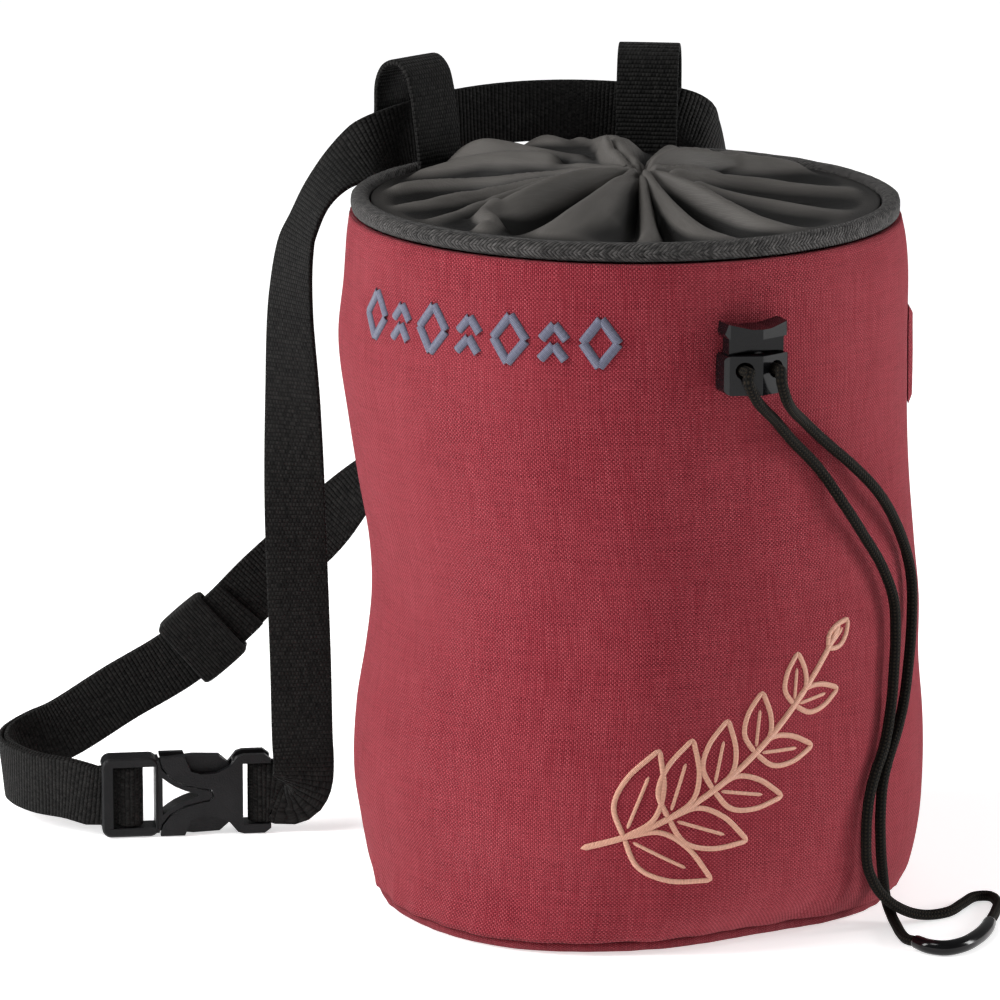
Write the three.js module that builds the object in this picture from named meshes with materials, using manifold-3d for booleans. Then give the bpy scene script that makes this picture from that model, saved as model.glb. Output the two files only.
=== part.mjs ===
// Climbing chalk bag: a soft, padded cylinder with a gathered closure, a webbing waist belt with a
// side release buckle, and a drawcord that runs through a push button cord lock.
// Millimetres, +Z up, origin at the centre of the base on the floor, -Y is the front.

import * as THREE from 'three';
import { mergeVertices } from 'three/addons/utils/BufferGeometryUtils.js';
import Module from 'manifold-3d';

const wasm = await Module();
wasm.setup();

// Bag body
const bagHeight = 178.6; // floor to the top of the rim binding
const rimRadius = 68.7; // outside of the rim binding
const baseRadius = 65; // outside of the rolled base seam
const wallThickness = 2.4; // padded, lined fabric
const basePanelThickness = 2;
const baseRollHeight = 2.9;
const bindingWidth = 4.6;
const bindingHeight = 4.6;
const seatGap = 0.3; // clearance that touching pieces keep
const hemGap = 0.5; // between the binding and what stands inside it

// Gathered closure
const closureThickness = 1;
const closureRise = 12; // tallest puff above the rim
const hemWidth = 2.6; // flat edge of the closure along the binding
const cinchRadius = 1.6; // what the drawn cord leaves open

// Webbing
const webbingWidth = 16;
const webbingThickness = 1.4;
const leftLoopAngle = 28.5; // degrees from the back
const rightLoopAngle = 26;
const loopHeight = 26.6; // above the rim
const loopDepth = 15; // between the middles of the two legs
const loopTailLength = 26; // sewn to the wall below the rim
const tailGap = 0.5; // between the belt and its doubled end
const keeperLength = 14.5;
const keeperThickness = 1.3;

// Side release buckle
const buckleLength = 44.4;
const buckleDepth = 7;
const buckleRail = 2.4;
const buckleCorner = 2.4;
const barWidth = 3.4;
const barDepth = 2.6;
const endBarWidth = 2.9;
const endBarDepth = 2;
const plateDepth = 1.7; // front and back plates of the socket half
const prongWidth = 5;

// Cord and cord lock
const cordDiameter = 2.7;
const lockAngle = 3.2; // degrees from the front, towards +X
const lockWidth = 17;
const lockBodyHeight = 9.6;
const lockDepth = 9; // at the ridge down the middle of its front
const lockFacet = 3; // how far the front falls back to each side
const lockHeightAboveFloor = 143; // underside of the lock body
const lockWall = 1;
const lockFloor = 0.7; // under the plunger's slot
const cordSpacing = 8.2; // between the two cord holes
const cordHoleHeight = 6; // above the underside of the lock body
const cordHoleDiameter = 4.4;
const buttonTravel = 2.4;
const buttonCapHeight = 3.6;
const buttonStandoff = 4.1; // open gap under the cap at rest
const plungerDepth = 3.4;
const plungerSet = 1.2; // behind the middle of the lock
const slideGap = 0.25; // running clearance of the plunger
const cordEndDiameter = 4;

// Brush sleeve on the side
const sleeveAngle = -8; // degrees from +X
const sleeveSpan = 27; // degrees
const sleeveHeight = 25;
const sleeveLowEdge = 125;
const sleeveThickness = 1;

// The bag leans, and the belt and cord lie, along axes turned about +Z
const layAngle = THREE.MathUtils.degToRad(-20);
const acrossAxis = new THREE.Vector3(Math.cos(layAngle), Math.sin(layAngle), 0);
const backAxis = new THREE.Vector3(-Math.sin(layAngle), Math.cos(layAngle), 0);
const upAxis = new THREE.Vector3(0, 0, 1);

const laid = (across, back, up) => new THREE.Vector3()
  .addScaledVector(acrossAxis, across)
  .addScaledVector(backAxis, back)
  .addScaledVector(upAxis, up);

const radians = THREE.MathUtils.degToRad;
const around = 60; // facets round the bag

// Value of one column of a table at a place between its rows, on a smooth curve
function between(table, place, column, at) {
  let row = 0;
  while (row < table.length - 2 && at > table[row + 1][place]) row += 1;
  const here = table[row];
  const next = table[row + 1];
  const before = table[Math.max(row - 1, 0)];
  const after = table[Math.min(row + 2, table.length - 1)];
  const step = next[place] - here[place];
  const share = THREE.MathUtils.clamp((at - here[place]) / step, 0, 1);
  const slope = (a, b) => (b[column] - a[column]) / Math.max(b[place] - a[place], 1e-6);
  const leave = slope(before, next) * step;
  const arrive = slope(here, after) * step;
  const s2 = share * share;
  const s3 = s2 * share;
  return (2 * s3 - 3 * s2 + 1) * here[column] + (s3 - 2 * s2 + share) * leave
    + (3 * s2 - 2 * s3) * next[column] + (s3 - s2) * arrive;
}

// Sections of the wall, base to rim: height as a share of the wall, radius as a share of the
// straight line from base to rim radius, lean as a share of the rim radius
const wallSections = [
  { height: 0, radius: 1.023, lean: 0.007 },
  { height: 0.034, radius: 1.069, lean: 0.023 },
  { height: 0.08, radius: 1.093, lean: 0.026 },
  { height: 0.157, radius: 1.104, lean: 0.02 },
  { height: 0.256, radius: 1.089, lean: 0.028 },
  { height: 0.344, radius: 1.059, lean: 0.038 },
  { height: 0.426, radius: 1.045, lean: 0.044 },
  { height: 0.508, radius: 1.036, lean: 0.026 },
  { height: 0.602, radius: 1.04, lean: -0.003 },
  { height: 0.707, radius: 1.043, lean: -0.026 },
  { height: 0.818, radius: 1.047, lean: -0.045 },
  { height: 0.906, radius: 1.031, lean: -0.039 },
  { height: 0.965, radius: 1.019, lean: -0.041 },
  { height: 1, radius: 1.004, lean: -0.044 },
];

// Soft dents and swells of the wall: turn in degrees from the lay axis, height and tall as shares
// of the wall, spread in degrees, depth inwards as a share of the rim radius
const wallDents = [
  { turn: -66, height: 0.42, spread: 20, tall: 0.24, depth: 0.013 },
  { turn: -112, height: 0.3, spread: 22, tall: 0.2, depth: -0.01 },
  { turn: -150, height: 0.47, spread: 24, tall: 0.11, depth: 0.012 },
  { turn: -95, height: 0.05, spread: 9, tall: 0.05, depth: 0.014 },
  { turn: 62, height: 0.55, spread: 32, tall: 0.3, depth: 0.014 },
  { turn: 128, height: 0.35, spread: 26, tall: 0.2, depth: 0.012 },
];

// The base seam isn't quite round or level: turn in degrees from the lay axis, reach as a share of
// the base radius, lift as a share of the roll height
const baseEdge = [
  { turn: 0, reach: 1, lift: 0 },
  { turn: 45, reach: 1.01, lift: 0 },
  { turn: 90, reach: 1, lift: 0 },
  { turn: 135, reach: 1.01, lift: 0 },
  { turn: 180, reach: 1, lift: 0 },
  { turn: 210, reach: 1.03, lift: 0 },
  { turn: 240, reach: 1.045, lift: 0.02 },
  { turn: 270, reach: 0.965, lift: 0.25 },
  { turn: 300, reach: 0.93, lift: 0.6 },
  { turn: 330, reach: 0.975, lift: 0.15 },
  { turn: 360, reach: 1, lift: 0 },
];

const wholeTurn = (degrees) => ((degrees % 360) + 360) % 360;
const baseReach = (turn) => baseRadius * between(baseEdge, 'turn', 'reach', wholeTurn(turn));
const baseLift = (turn) => baseRollHeight * between(baseEdge, 'turn', 'lift', wholeTurn(turn));

const wallTop = bagHeight - bindingHeight - seatGap;
const rimLean = rimRadius * wallSections[wallSections.length - 1].lean;
const wallFade = 0.09; // share of the wall over which it follows the base seam

// Point of the wall at a turn from the lay axis and a share of its height, moved out by offset
function wallPoint(turn, height, offset) {
  const low = baseLift(turn) + baseRollHeight + seatGap;
  const section = between(wallSections, 'height', 'radius', height);
  const lean = rimRadius * between(wallSections, 'height', 'lean', height);
  let radius = THREE.MathUtils.lerp(baseRadius, rimRadius, height) * section;
  const follow = Math.max(0, 1 - height / wallFade);
  radius *= THREE.MathUtils.lerp(1, baseReach(turn) / baseRadius, follow * follow);
  for (const dent of wallDents) {
    const apart = (wholeTurn(turn - dent.turn + 180) - 180) / dent.spread;
    const above = (height - dent.height) / dent.tall;
    radius -= rimRadius * dent.depth * Math.exp(-apart * apart - above * above);
  }
  const angle = radians(turn);
  const reach = radius + offset;
  return laid(lean + reach * Math.cos(angle), reach * Math.sin(angle), THREE.MathUtils.lerp(low, wallTop, height));
}

// Share of the wall's height at a level above the floor
function wallShare(turn, up) {
  const low = baseLift(turn) + baseRollHeight + seatGap;
  return (up - low) / (wallTop - low);
}

// A geometry from points and triangles, turned so that its faces point out
function solidGeometry(points, faces) {
  let volume = 0;
  for (const [a, b, c] of faces) {
    volume += points[a].dot(new THREE.Vector3().crossVectors(points[b], points[c]));
  }
  const index = faces.flatMap(([a, b, c]) => (volume < 0 ? [a, c, b] : [a, b, c]));
  const geometry = new THREE.BufferGeometry();
  geometry.setAttribute('position', new THREE.Float32BufferAttribute(points.flatMap((p) => p.toArray()), 3));
  geometry.setIndex(index);
  geometry.computeVertexNormals();
  return geometry;
}

// Closed section carried round the bag: pointAt(turn, number) gives each corner of the section
function ringGeometry(turns, corners, pointAt) {
  const points = [];
  const faces = [];
  for (let i = 0; i < turns; i += 1) {
    for (let k = 0; k < corners; k += 1) points.push(pointAt((360 * i) / turns, k));
  }
  for (let i = 0; i < turns; i += 1) {
    const next = (i + 1) % turns;
    for (let k = 0; k < corners; k += 1) {
      const up = (k + 1) % corners;
      faces.push([i * corners + k, next * corners + k, next * corners + up]);
      faces.push([i * corners + k, next * corners + up, i * corners + up]);
    }
  }
  return solidGeometry(points, faces);
}

// Flat strip along stations of a middle point and an edge direction
function ribbonGeometry(stations, width, thickness) {
  const points = [];
  const faces = [];
  stations.forEach(({ middle, edge, face }) => {
    for (const [w, t] of [[-1, -1], [1, -1], [1, 1], [-1, 1]]) {
      points.push(middle.clone().addScaledVector(edge, (w * width) / 2).addScaledVector(face, (t * thickness) / 2));
    }
  });
  for (let i = 0; i < stations.length - 1; i += 1) {
    for (let k = 0; k < 4; k += 1) {
      const a = i * 4 + k;
      const b = i * 4 + ((k + 1) % 4);
      faces.push([a, b, b + 4], [a, b + 4, a + 4]);
    }
  }
  const last = (stations.length - 1) * 4;
  faces.push([0, 2, 1], [0, 3, 2], [last, last + 1, last + 2], [last, last + 2, last + 3]);
  return solidGeometry(points, faces);
}

// Places on a curve through points: every point, and more where they are over stepLength apart
function placesAlong(points, stepLength) {
  const places = [];
  for (let i = 0; i < points.length - 1; i += 1) {
    const steps = Math.max(1, Math.round(points[i].distanceTo(points[i + 1]) / stepLength));
    for (let k = 0; k < steps; k += 1) places.push((i + k / steps) / (points.length - 1));
  }
  places.push(1);
  return places;
}

// Stations of a strip from its rows of a middle and an edge direction
function stationsAlong(rows, stepLength) {
  const middles = rows.map((row) => row.middle);
  const curve = new THREE.CatmullRomCurve3(middles);
  const edges = new THREE.CatmullRomCurve3(rows.map((row) => row.edge), false, 'catmullrom', 0.5);
  return placesAlong(middles, stepLength).map((place) => {
    const along = curve.getTangent(place);
    const edge = edges.getPoint(place);
    edge.addScaledVector(along, -edge.dot(along)).normalize();
    return { middle: curve.getPoint(place), edge, face: new THREE.Vector3().crossVectors(along, edge) };
  });
}

function extruded(shape, depth, bevel = 0) {
  const geometry = new THREE.ExtrudeGeometry(shape, {
    depth: depth - 2 * bevel,
    bevelEnabled: bevel > 0,
    bevelThickness: bevel,
    bevelSize: bevel,
    bevelOffset: -bevel,
    bevelSegments: 1,
    curveSegments: 3,
  });
  return geometry.translate(0, 0, bevel);
}

function roundedRectangle(left, low, right, high, corner) {
  const shape = new THREE.Shape();
  shape.moveTo(left + corner, low);
  shape.lineTo(right - corner, low);
  shape.absarc(right - corner, low + corner, corner, -Math.PI / 2, 0);
  shape.lineTo(right, high - corner);
  shape.absarc(right - corner, high - corner, corner, 0, Math.PI / 2);
  shape.lineTo(left + corner, high);
  shape.absarc(left + corner, high - corner, corner, Math.PI / 2, Math.PI);
  shape.lineTo(left, low + corner);
  shape.absarc(left + corner, low + corner, corner, Math.PI, Math.PI * 1.5);
  return shape;
}

// Box from its lowest to its highest corner
function block(low, high) {
  const size = new THREE.Vector3(...high).sub(new THREE.Vector3(...low));
  const middle = new THREE.Vector3(...high).add(new THREE.Vector3(...low)).multiplyScalar(0.5);
  return new THREE.BoxGeometry(size.x, size.y, size.z).translate(middle.x, middle.y, middle.z);
}

function toSolid(geometry) {
  const bare = geometry.clone();
  bare.deleteAttribute('normal');
  bare.deleteAttribute('uv');
  const merged = mergeVertices(bare, 1e-4);
  return new wasm.Manifold(new wasm.Mesh({
    numProp: 3,
    vertProperties: new Float32Array(merged.attributes.position.array),
    triVerts: new Uint32Array(merged.index.array),
  }));
}

function toGeometry(solid) {
  const mesh = solid.getMesh();
  const geometry = new THREE.BufferGeometry();
  geometry.setAttribute('position', new THREE.BufferAttribute(new Float32Array(mesh.vertProperties), 3));
  geometry.setIndex(new THREE.BufferAttribute(new Uint32Array(mesh.triVerts), 1));
  geometry.computeVertexNormals();
  return geometry;
}

const joined = (...geometries) => geometries.map(toSolid).reduce((whole, next) => whole.add(next));
const cutBy = (solid, ...geometries) => geometries.map(toSolid).reduce((whole, next) => whole.subtract(next), solid);

// Materials
const finish = (color, roughness, metalness = 0) => new THREE.MeshStandardMaterial({ color, roughness, metalness });
const redFabric = finish(0x8f3a45, 0.9);
const tapeFabric = finish(0x4b4947, 0.85);
const closureFabric = finish(0x54504d, 0.6);
const webbing = finish(0x1b1a1a, 0.85);
const elastic = finish(0x222120, 0.9);
const buckleResin = finish(0x26272a, 0.5);
const lockResin = finish(0x141416, 0.2);
const cordBraid = finish(0x12110f, 0.8);

const chalkBag = new THREE.Group();

function piece(name, geometry, material, place = chalkBag) {
  const mesh = new THREE.Mesh(geometry, material);
  mesh.name = name;
  place.add(mesh);
  return mesh;
}

// Wall: an open tube of even thickness, with fewer rows on the inside
const outerRows = wallSections.map(({ height }) => ({ height, offset: 0 }));
const innerRows = wallSections.filter((section, row) => row === 0 || row % 2 === 1)
  .map(({ height }) => ({ height, offset: -wallThickness }));
const wallCorners = [...outerRows, ...innerRows.reverse()];
piece('wall', ringGeometry(around, wallCorners.length, (turn, corner) => {
  const { height, offset } = wallCorners[corner];
  return wallPoint(turn, height, offset);
}), redFabric);

// Base panel: a flat disc whose edge is rolled up into the seam, in as share of the reach,
// up as a share of the roll height
const rollCorners = [
  { inset: 0.1, up: 0 },
  { inset: 0.022, up: 0 },
  { inset: 0, up: 0.4 },
  { inset: -0.004, up: 1 },
  { inset: 0.06, up: 1 },
  { inset: 0.085, up: basePanelThickness / baseRollHeight },
];

function basePanelGeometry() {
  const points = [new THREE.Vector3(0, 0, 0), new THREE.Vector3(0, 0, basePanelThickness)];
  const faces = [];
  const corners = rollCorners.length;
  for (let i = 0; i < around; i += 1) {
    const turn = (360 * i) / around;
    const lift = baseLift(turn);
    rollCorners.forEach(({ inset, up }, k) => {
      const reach = baseReach(turn) * (1 - inset);
      const flat = k === 0 || k === corners - 1;
      const level = baseRollHeight * up + (flat ? 0 : lift);
      points.push(laid(reach * Math.cos(radians(turn)), reach * Math.sin(radians(turn)), level));
    });
  }
  const at = (i, k) => 2 + (i % around) * corners + k;
  for (let i = 0; i < around; i += 1) {
    faces.push([0, at(i + 1, 0), at(i, 0)]);
    for (let k = 0; k < corners - 1; k += 1) {
      faces.push([at(i, k), at(i + 1, k), at(i + 1, k + 1)]);
      faces.push([at(i, k), at(i + 1, k + 1), at(i, k + 1)]);
    }
    faces.push([at(i, corners - 1), at(i + 1, corners - 1), 1]);
  }
  return solidGeometry(points, faces);
}
piece('base_panel', basePanelGeometry(), redFabric);

// Rim binding: a rounded tape round the rim
const rimPoint = (turn, radius, up) => laid(
  rimLean + radius * Math.cos(radians(turn)),
  radius * Math.sin(radians(turn)),
  up,
);
const bindingCorners = 8;
piece('rim_binding', ringGeometry(around, bindingCorners, (turn, corner) => {
  const angle = (2 * Math.PI * (corner + 0.5)) / bindingCorners;
  const full = 1 / Math.cos(Math.PI / bindingCorners);
  const out = (bindingWidth / 2) * (Math.cos(angle) * full - 1);
  const up = (bindingHeight / 2) * (Math.sin(angle) * full - 1);
  return rimPoint(turn, rimRadius + out, bagHeight + up);
}), tapeFabric);

// Folds of the gathered closure: turn at the rim and twist towards the cinch in degrees, rise as a
// share of the closure's rise, spread in degrees, peak as a share of the way from cinch to rim
const closureFolds = [
  { turn: 97, twist: 6, rise: 1.27, spread: 19, peak: 0.44 },
  { turn: 130, twist: 8, rise: 0.83, spread: 13, peak: 0.5 },
  { turn: 168, twist: -6, rise: 0.55, spread: 9, peak: 0.5 },
  { turn: 188, twist: -8, rise: 0.5, spread: 7, peak: 0.52 },
  { turn: 205, twist: -10, rise: 0.52, spread: 7, peak: 0.55 },
  { turn: 223, twist: -14, rise: 0.8, spread: 8, peak: 0.55 },
  { turn: 259, twist: 0, rise: 0.4, spread: 12, peak: 0.52 },
  { turn: 279, twist: 2, rise: 0.28, spread: 4, peak: 0.5 },
  { turn: 294, twist: 6, rise: 0.33, spread: 6, peak: 0.5 },
  { turn: 309, twist: 10, rise: 0.5, spread: 7, peak: 0.42 },
  { turn: 336, twist: 8, rise: 0.46, spread: 12, peak: 0.5 },
  { turn: 18, twist: 4, rise: 0.55, spread: 11, peak: 0.48 },
  { turn: 52, twist: -4, rise: 0.72, spread: 12, peak: 0.5 },
];
const closureRadius = rimRadius - bindingWidth - hemGap;
const hemLevel = bagHeight - bindingHeight / 2;
const cinchOffset = 0.065 * rimRadius; // the cinch sits off the middle
const valleyDepth = 0.1 * closureRise;
const cinchLevel = 0.29 * closureRise; // above the hem

function closurePoint(turn, out) {
  const radius = THREE.MathUtils.lerp(cinchRadius, closureRadius, out);
  const hemShare = (closureRadius - hemWidth - cinchRadius) / (closureRadius - cinchRadius);
  const run = Math.min(out / hemShare, 1);
  const wave = Math.sin(Math.PI * run);
  let up = hemLevel - valleyDepth * wave + cinchLevel * (1 - run) ** 2;
  for (const fold of closureFolds) {
    const middle = fold.turn + fold.twist * (1 - run);
    const apart = (wholeTurn(turn - middle + 180) - 180) / fold.spread;
    const arch = Math.sin(Math.PI * run ** (Math.log(0.5) / Math.log(fold.peak)));
    up += closureRise * fold.rise * arch * Math.exp(-apart * apart);
  }
  const drift = cinchOffset * (1 - run) ** 2;
  return rimPoint(turn, radius, up).addScaledVector(acrossAxis, drift);
}

function closureGeometry() {
  const turns = around;
  const rings = [0, 0.05, 0.13, 0.24, 0.36, 0.48, 0.6, 0.72, 0.83, 0.92, 0.958, 1];
  const top = [];
  for (let i = 0; i < turns; i += 1) top.push(rings.map((out) => closurePoint((360 * i) / turns, out)));
  const normalAt = (i, k) => {
    const side = new THREE.Vector3().subVectors(top[(i + 1) % turns][k], top[(i + turns - 1) % turns][k]);
    const run = new THREE.Vector3().subVectors(top[i][Math.min(k + 1, rings.length - 1)], top[i][Math.max(k - 1, 0)]);
    return run.cross(side).normalize();
  };
  return ringGeometry(turns, rings.length * 2, (turn, corner) => {
    const i = Math.round((turn * turns) / 360);
    const upper = corner < rings.length;
    const k = upper ? corner : rings.length * 2 - 1 - corner;
    const atEdge = k >= rings.length - 2 || k === 0;
    const down = atEdge ? upAxis : normalAt(i, k);
    return top[i][k].clone().addScaledVector(down, upper ? 0 : -closureThickness);
  });
}
piece('closure', closureGeometry(), closureFabric);

// Belt loops: webbing folded over, one leg inside the rim and one sewn to the outside of the wall
const legLevel = hemLevel + seatGap;
const innerLegReach = Math.sqrt(closureRadius ** 2 - (webbingWidth / 2) ** 2) - webbingThickness / 2;
// out as a share of the loop depth from the inner leg, up as a share of the loop height
const loopBend = [
  { out: 0.05, up: 0.2 },
  { out: 0.12, up: 0.45 },
  { out: 0.2, up: 0.7 },
  { out: 0.32, up: 0.88 },
  { out: 0.55, up: 0.97 },
  { out: 0.83, up: 0.92 },
  { out: 0.99, up: 0.77 },
  { out: 1.02, up: 0.5 },
  { out: 1, up: 0.1 },
];
const loopWallRows = [0, 0.35, 0.7, 1]; // shares of the tail sewn to the wall
const loopDrop = 0.34 * loopHeight; // below the rim, where the outer leg meets the wall

const backTurn = 90 - THREE.MathUtils.radToDeg(layAngle); // the back, in degrees from the lay axis

function beltLoop(name, turn) {
  const edge = laid(-Math.sin(radians(turn)), Math.cos(radians(turn)), 0);
  const rows = [{ middle: rimPoint(turn, innerLegReach, legLevel), edge }];
  rows.push({ middle: rimPoint(turn, innerLegReach, bagHeight), edge });
  for (const { out, up } of loopBend) {
    rows.push({ middle: rimPoint(turn, innerLegReach + loopDepth * out, bagHeight + loopHeight * up), edge });
  }
  for (const share of loopWallRows) {
    const level = bagHeight - loopDrop - loopTailLength * share;
    const off = seatGap * 2 + webbingThickness / 2;
    rows.push({ middle: wallPoint(turn, wallShare(turn, level), off), edge });
  }
  piece(name, ribbonGeometry(stationsAlong(rows, 6), webbingWidth, webbingThickness), webbing);
}
beltLoop('belt_loop_left', backTurn + leftLoopAngle);
beltLoop('belt_loop_right', backTurn - rightLoopAngle);

// Buckle frame: u along the buckle, v up, w from its front face to the back
const buckleHeight = webbingWidth + 2 * seatGap + 2 * buckleRail;
const buckleTurn = radians(7.7);
const buckleAlong = laid(Math.cos(buckleTurn), Math.sin(buckleTurn), 0);
const buckleInward = laid(-Math.sin(buckleTurn), Math.cos(buckleTurn), 0);
const buckleOrigin = laid(-2.007 * rimRadius, 0.451 * rimRadius, seatGap);
const buckleMiddle = buckleHeight / 2;
const inBuckle = (u, w) => buckleOrigin.clone()
  .addScaledVector(buckleAlong, u)
  .addScaledVector(buckleInward, w)
  .addScaledVector(upAxis, buckleMiddle);

const wrapGap = webbingThickness / 2 + seatGap; // from a bar's face to the middle of the webbing
const frontStrand = buckleDepth / 2 - barDepth / 2 - wrapGap;
const backStrand = buckleDepth / 2 + barDepth / 2 + wrapGap;
const entryStrand = endBarDepth + wrapGap; // behind the end bar
const tailOffset = webbingThickness + tailGap;

// Middle of the webbing round a bar, from one strand to the other, in the buckle frame
function roundBar(barMiddle, side) {
  const reach = barWidth / 2 + wrapGap;
  const high = barDepth / 2 + wrapGap;
  return [-90, -60, -30, 0, 30, 60, 90].map((degrees) => {
    const angle = radians(degrees);
    return inBuckle(
      barMiddle + side * reach * Math.cos(angle),
      buckleDepth / 2 + high * Math.sin(angle),
    );
  });
}

const socketBar = buckleLength - 2.6; // middle of the bar of the socket half
const adjusterBar = endBarWidth + 4.7; // middle of the bar of the prong half
const upright = upAxis.clone();
const rowOf = (middle, edge) => ({ middle, edge });

// Belt from the socket: a fold back, the turn round the bar and the soft corner
const cornerStart = inBuckle(socketBar + barWidth / 2, frontStrand);
const cornerRows = [
  { across: 0.13, back: 0.015, up: -0.01, edge: [0, 0, 1] },
  { across: 0.3, back: 0.02, up: -0.07, edge: [-0.28, 0, 0.96] },
  { across: 0.46, back: -0.02, up: -0.01, edge: [-0.55, -0.06, 0.83] },
  { across: 0.57, back: -0.05, up: 0.175, edge: [-0.76, -0.13, 0.64] },
  { across: 0.6, back: -0.05, up: 0.5, edge: [-0.93, -0.13, 0.35] },
  { across: 0.58, back: 0, up: 0.9, edge: [-1, 0, 0] },
]; // shares of the webbing width from the bar
const foldBack = [
  inBuckle(socketBar + barWidth * 1.9, backStrand - 2.4),
  inBuckle(socketBar + barWidth * 1.15, backStrand - 1),
  inBuckle(socketBar + barWidth * 0.45, backStrand),
];

// Rise from the corner to the left loop: across and back as shares of the rim radius, up as a
// share of the bag height, edge as a direction across the webbing
const riseRows = [
  { across: -1.253, back: 0.553, up: 0.263, edge: [-1, 0, 0] },
  { across: -1.27, back: 0.553, up: 0.474, edge: [-0.995, 0.1, 0] },
  { across: -1.278, back: 0.55, up: 0.653, edge: [-0.89, 0.46, 0] },
  { across: -1.284, back: 0.55, up: 0.8, edge: [-0.7, 0.71, 0] },
  { across: -1.262, back: 0.553, up: 0.883, edge: [-0.56, 0.83, 0] },
  { across: -1.237, back: 0.557, up: 0.912, edge: [-0.45, 0.89, 0] },
  { across: -1.2, back: 0.562, up: 0.953, edge: [-0.3, 0.93, -0.2] },
  { across: -1.112, back: 0.58, up: 0.986, edge: [-0.2, 0.93, 0.3] },
  { across: -1.062, back: 0.59, up: 1.003, edge: [-0.1, 0.8, 0.6] },
  { across: -1.003, back: 0.604, up: 1.016, edge: [0, 0.55, 0.8] },
];

// From the right loop, down behind the bag and out to the bend on the left
const returnRows = [
  { across: 0.255, back: 1.055, up: 1.016, edge: [0, 0.55, 0.83] },
  { across: 0.3, back: 1.1, up: 1, edge: [0.1, 0.94, 0.32] },
  { across: 0.358, back: 1.135, up: 0.976, edge: [0.1, 1, 0.1] },
  { across: 0.386, back: 1.17, up: 0.938, edge: [0, 1, 0] },
  { across: 0.371, back: 1.2, up: 0.88, edge: [0, 1, 0] },
  { across: 0.26, back: 1.225, up: 0.8, edge: [0, 1, 0] },
  { across: 0.06, back: 1.245, up: 0.735, edge: [0, 1, 0] },
  { across: -0.204, back: 1.235, up: 0.666, edge: [0, 1, 0] },
  { across: -0.524, back: 1.19, up: 0.61, edge: [-0.02, 0.99, 0.1] },
  { across: -0.815, back: 1.11, up: 0.548, edge: [-0.12, 0.97, 0.2] },
  { across: -1.029, back: 1.055, up: 0.484, edge: [-0.35, 0.8, 0.48] },
  { across: -1.211, back: 1.041, up: 0.409, edge: [-0.6, 0.3, 0.74] },
  { across: -1.419, back: 1.041, up: 0.334, edge: [-0.62, 0, 0.78] },
  { across: -1.555, back: 1.041, up: 0.28, edge: [-0.6, 0, 0.8] },
  { across: -1.741, back: 1.041, up: 0.218, edge: [-0.57, 0, 0.82] },
  { across: -1.972, back: 1.041, up: 0.163, edge: [-0.55, 0, 0.83] },
  { across: -2.198, back: 1.034, up: 0.107, edge: [-0.5, 0, 0.86] },
  { across: -2.3, back: 1.012, up: 0.091, edge: [-0.38, 0, 0.92] },
  { across: -2.384, back: 0.95, up: 0.077, edge: [-0.24, 0, 0.97] },
  { across: -2.413, back: 0.85, up: 0.07, edge: [-0.12, 0, 0.99] },
  { across: -2.37, back: 0.73, up: 0.068, edge: [-0.04, 0, 1] },
  { across: -2.274, back: 0.616, up: 0.067, edge: [0, 0, 1] },
  { across: -2.147, back: 0.536, up: 0.067, edge: [0, 0, 1] },
];
const keeperRow = 14; // row of the return that the keeper sits just above

const beltReach = innerLegReach + loopDepth - 3 * webbingThickness;
const beltLevel = bagHeight + webbingWidth / 2 + 2 * seatGap;
const fromTable = ({ across, back, up, edge }) => rowOf(
  laid(across * rimRadius, back * rimRadius, up * bagHeight),
  laid(...edge),
);

const loopArc = [];
const loopStart = backTurn + leftLoopAngle + 7.5;
const loopEnd = backTurn - rightLoopAngle - 5;
const arcSteps = 8;
const arcSag = 0.13 * webbingWidth; // how far the belt has dropped at each loop
for (let i = 0; i <= arcSteps; i += 1) {
  const turn = THREE.MathUtils.lerp(loopStart, loopEnd, i / arcSteps);
  loopArc.push(rowOf(rimPoint(turn, beltReach, beltLevel - arcSag * ((2 * i) / arcSteps - 1) ** 2), upright));
}

const leadRows = [
  ...foldBack.map((middle) => rowOf(middle, upright)),
  ...roundBar(socketBar, -1).reverse().map((middle) => rowOf(middle, upright)),
  rowOf(cornerStart, upright),
  ...cornerRows.map(({ across, back, up, edge }) => rowOf(
    cornerStart.clone().add(laid(across, back, up).multiplyScalar(webbingWidth)),
    laid(...edge),
  )),
];
const mainRows = [
  ...leadRows,
  ...riseRows.map(fromTable),
  ...loopArc,
  ...returnRows.map(fromTable),
  rowOf(inBuckle(-endBarWidth, entryStrand + seatGap), upright),
];
const mainStations = stationsAlong(mainRows, 9);

// Stations of the return stretch, from the keeper to the buckle
const keeperPlace = fromTable(returnRows[keeperRow]).middle.lerp(fromTable(returnRows[keeperRow - 1]).middle, 0.5);
const nearestTo = (stations, point) => stations.reduce(
  (best, station, i) => (station.middle.distanceTo(point) < stations[best].middle.distanceTo(point) ? i : best),
  0,
);
const tailEnd = fromTable(returnRows[keeperRow - 2]).middle.lerp(fromTable(returnRows[keeperRow - 1]).middle, 0.62);
const tailStart = nearestTo(mainStations, tailEnd);
const tailStations = mainStations.slice(tailStart).reverse().map(({ middle, edge, face }) => ({
  middle: middle.clone().addScaledVector(face, -tailOffset),
  edge,
  face: face.clone().negate(),
}));

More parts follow.
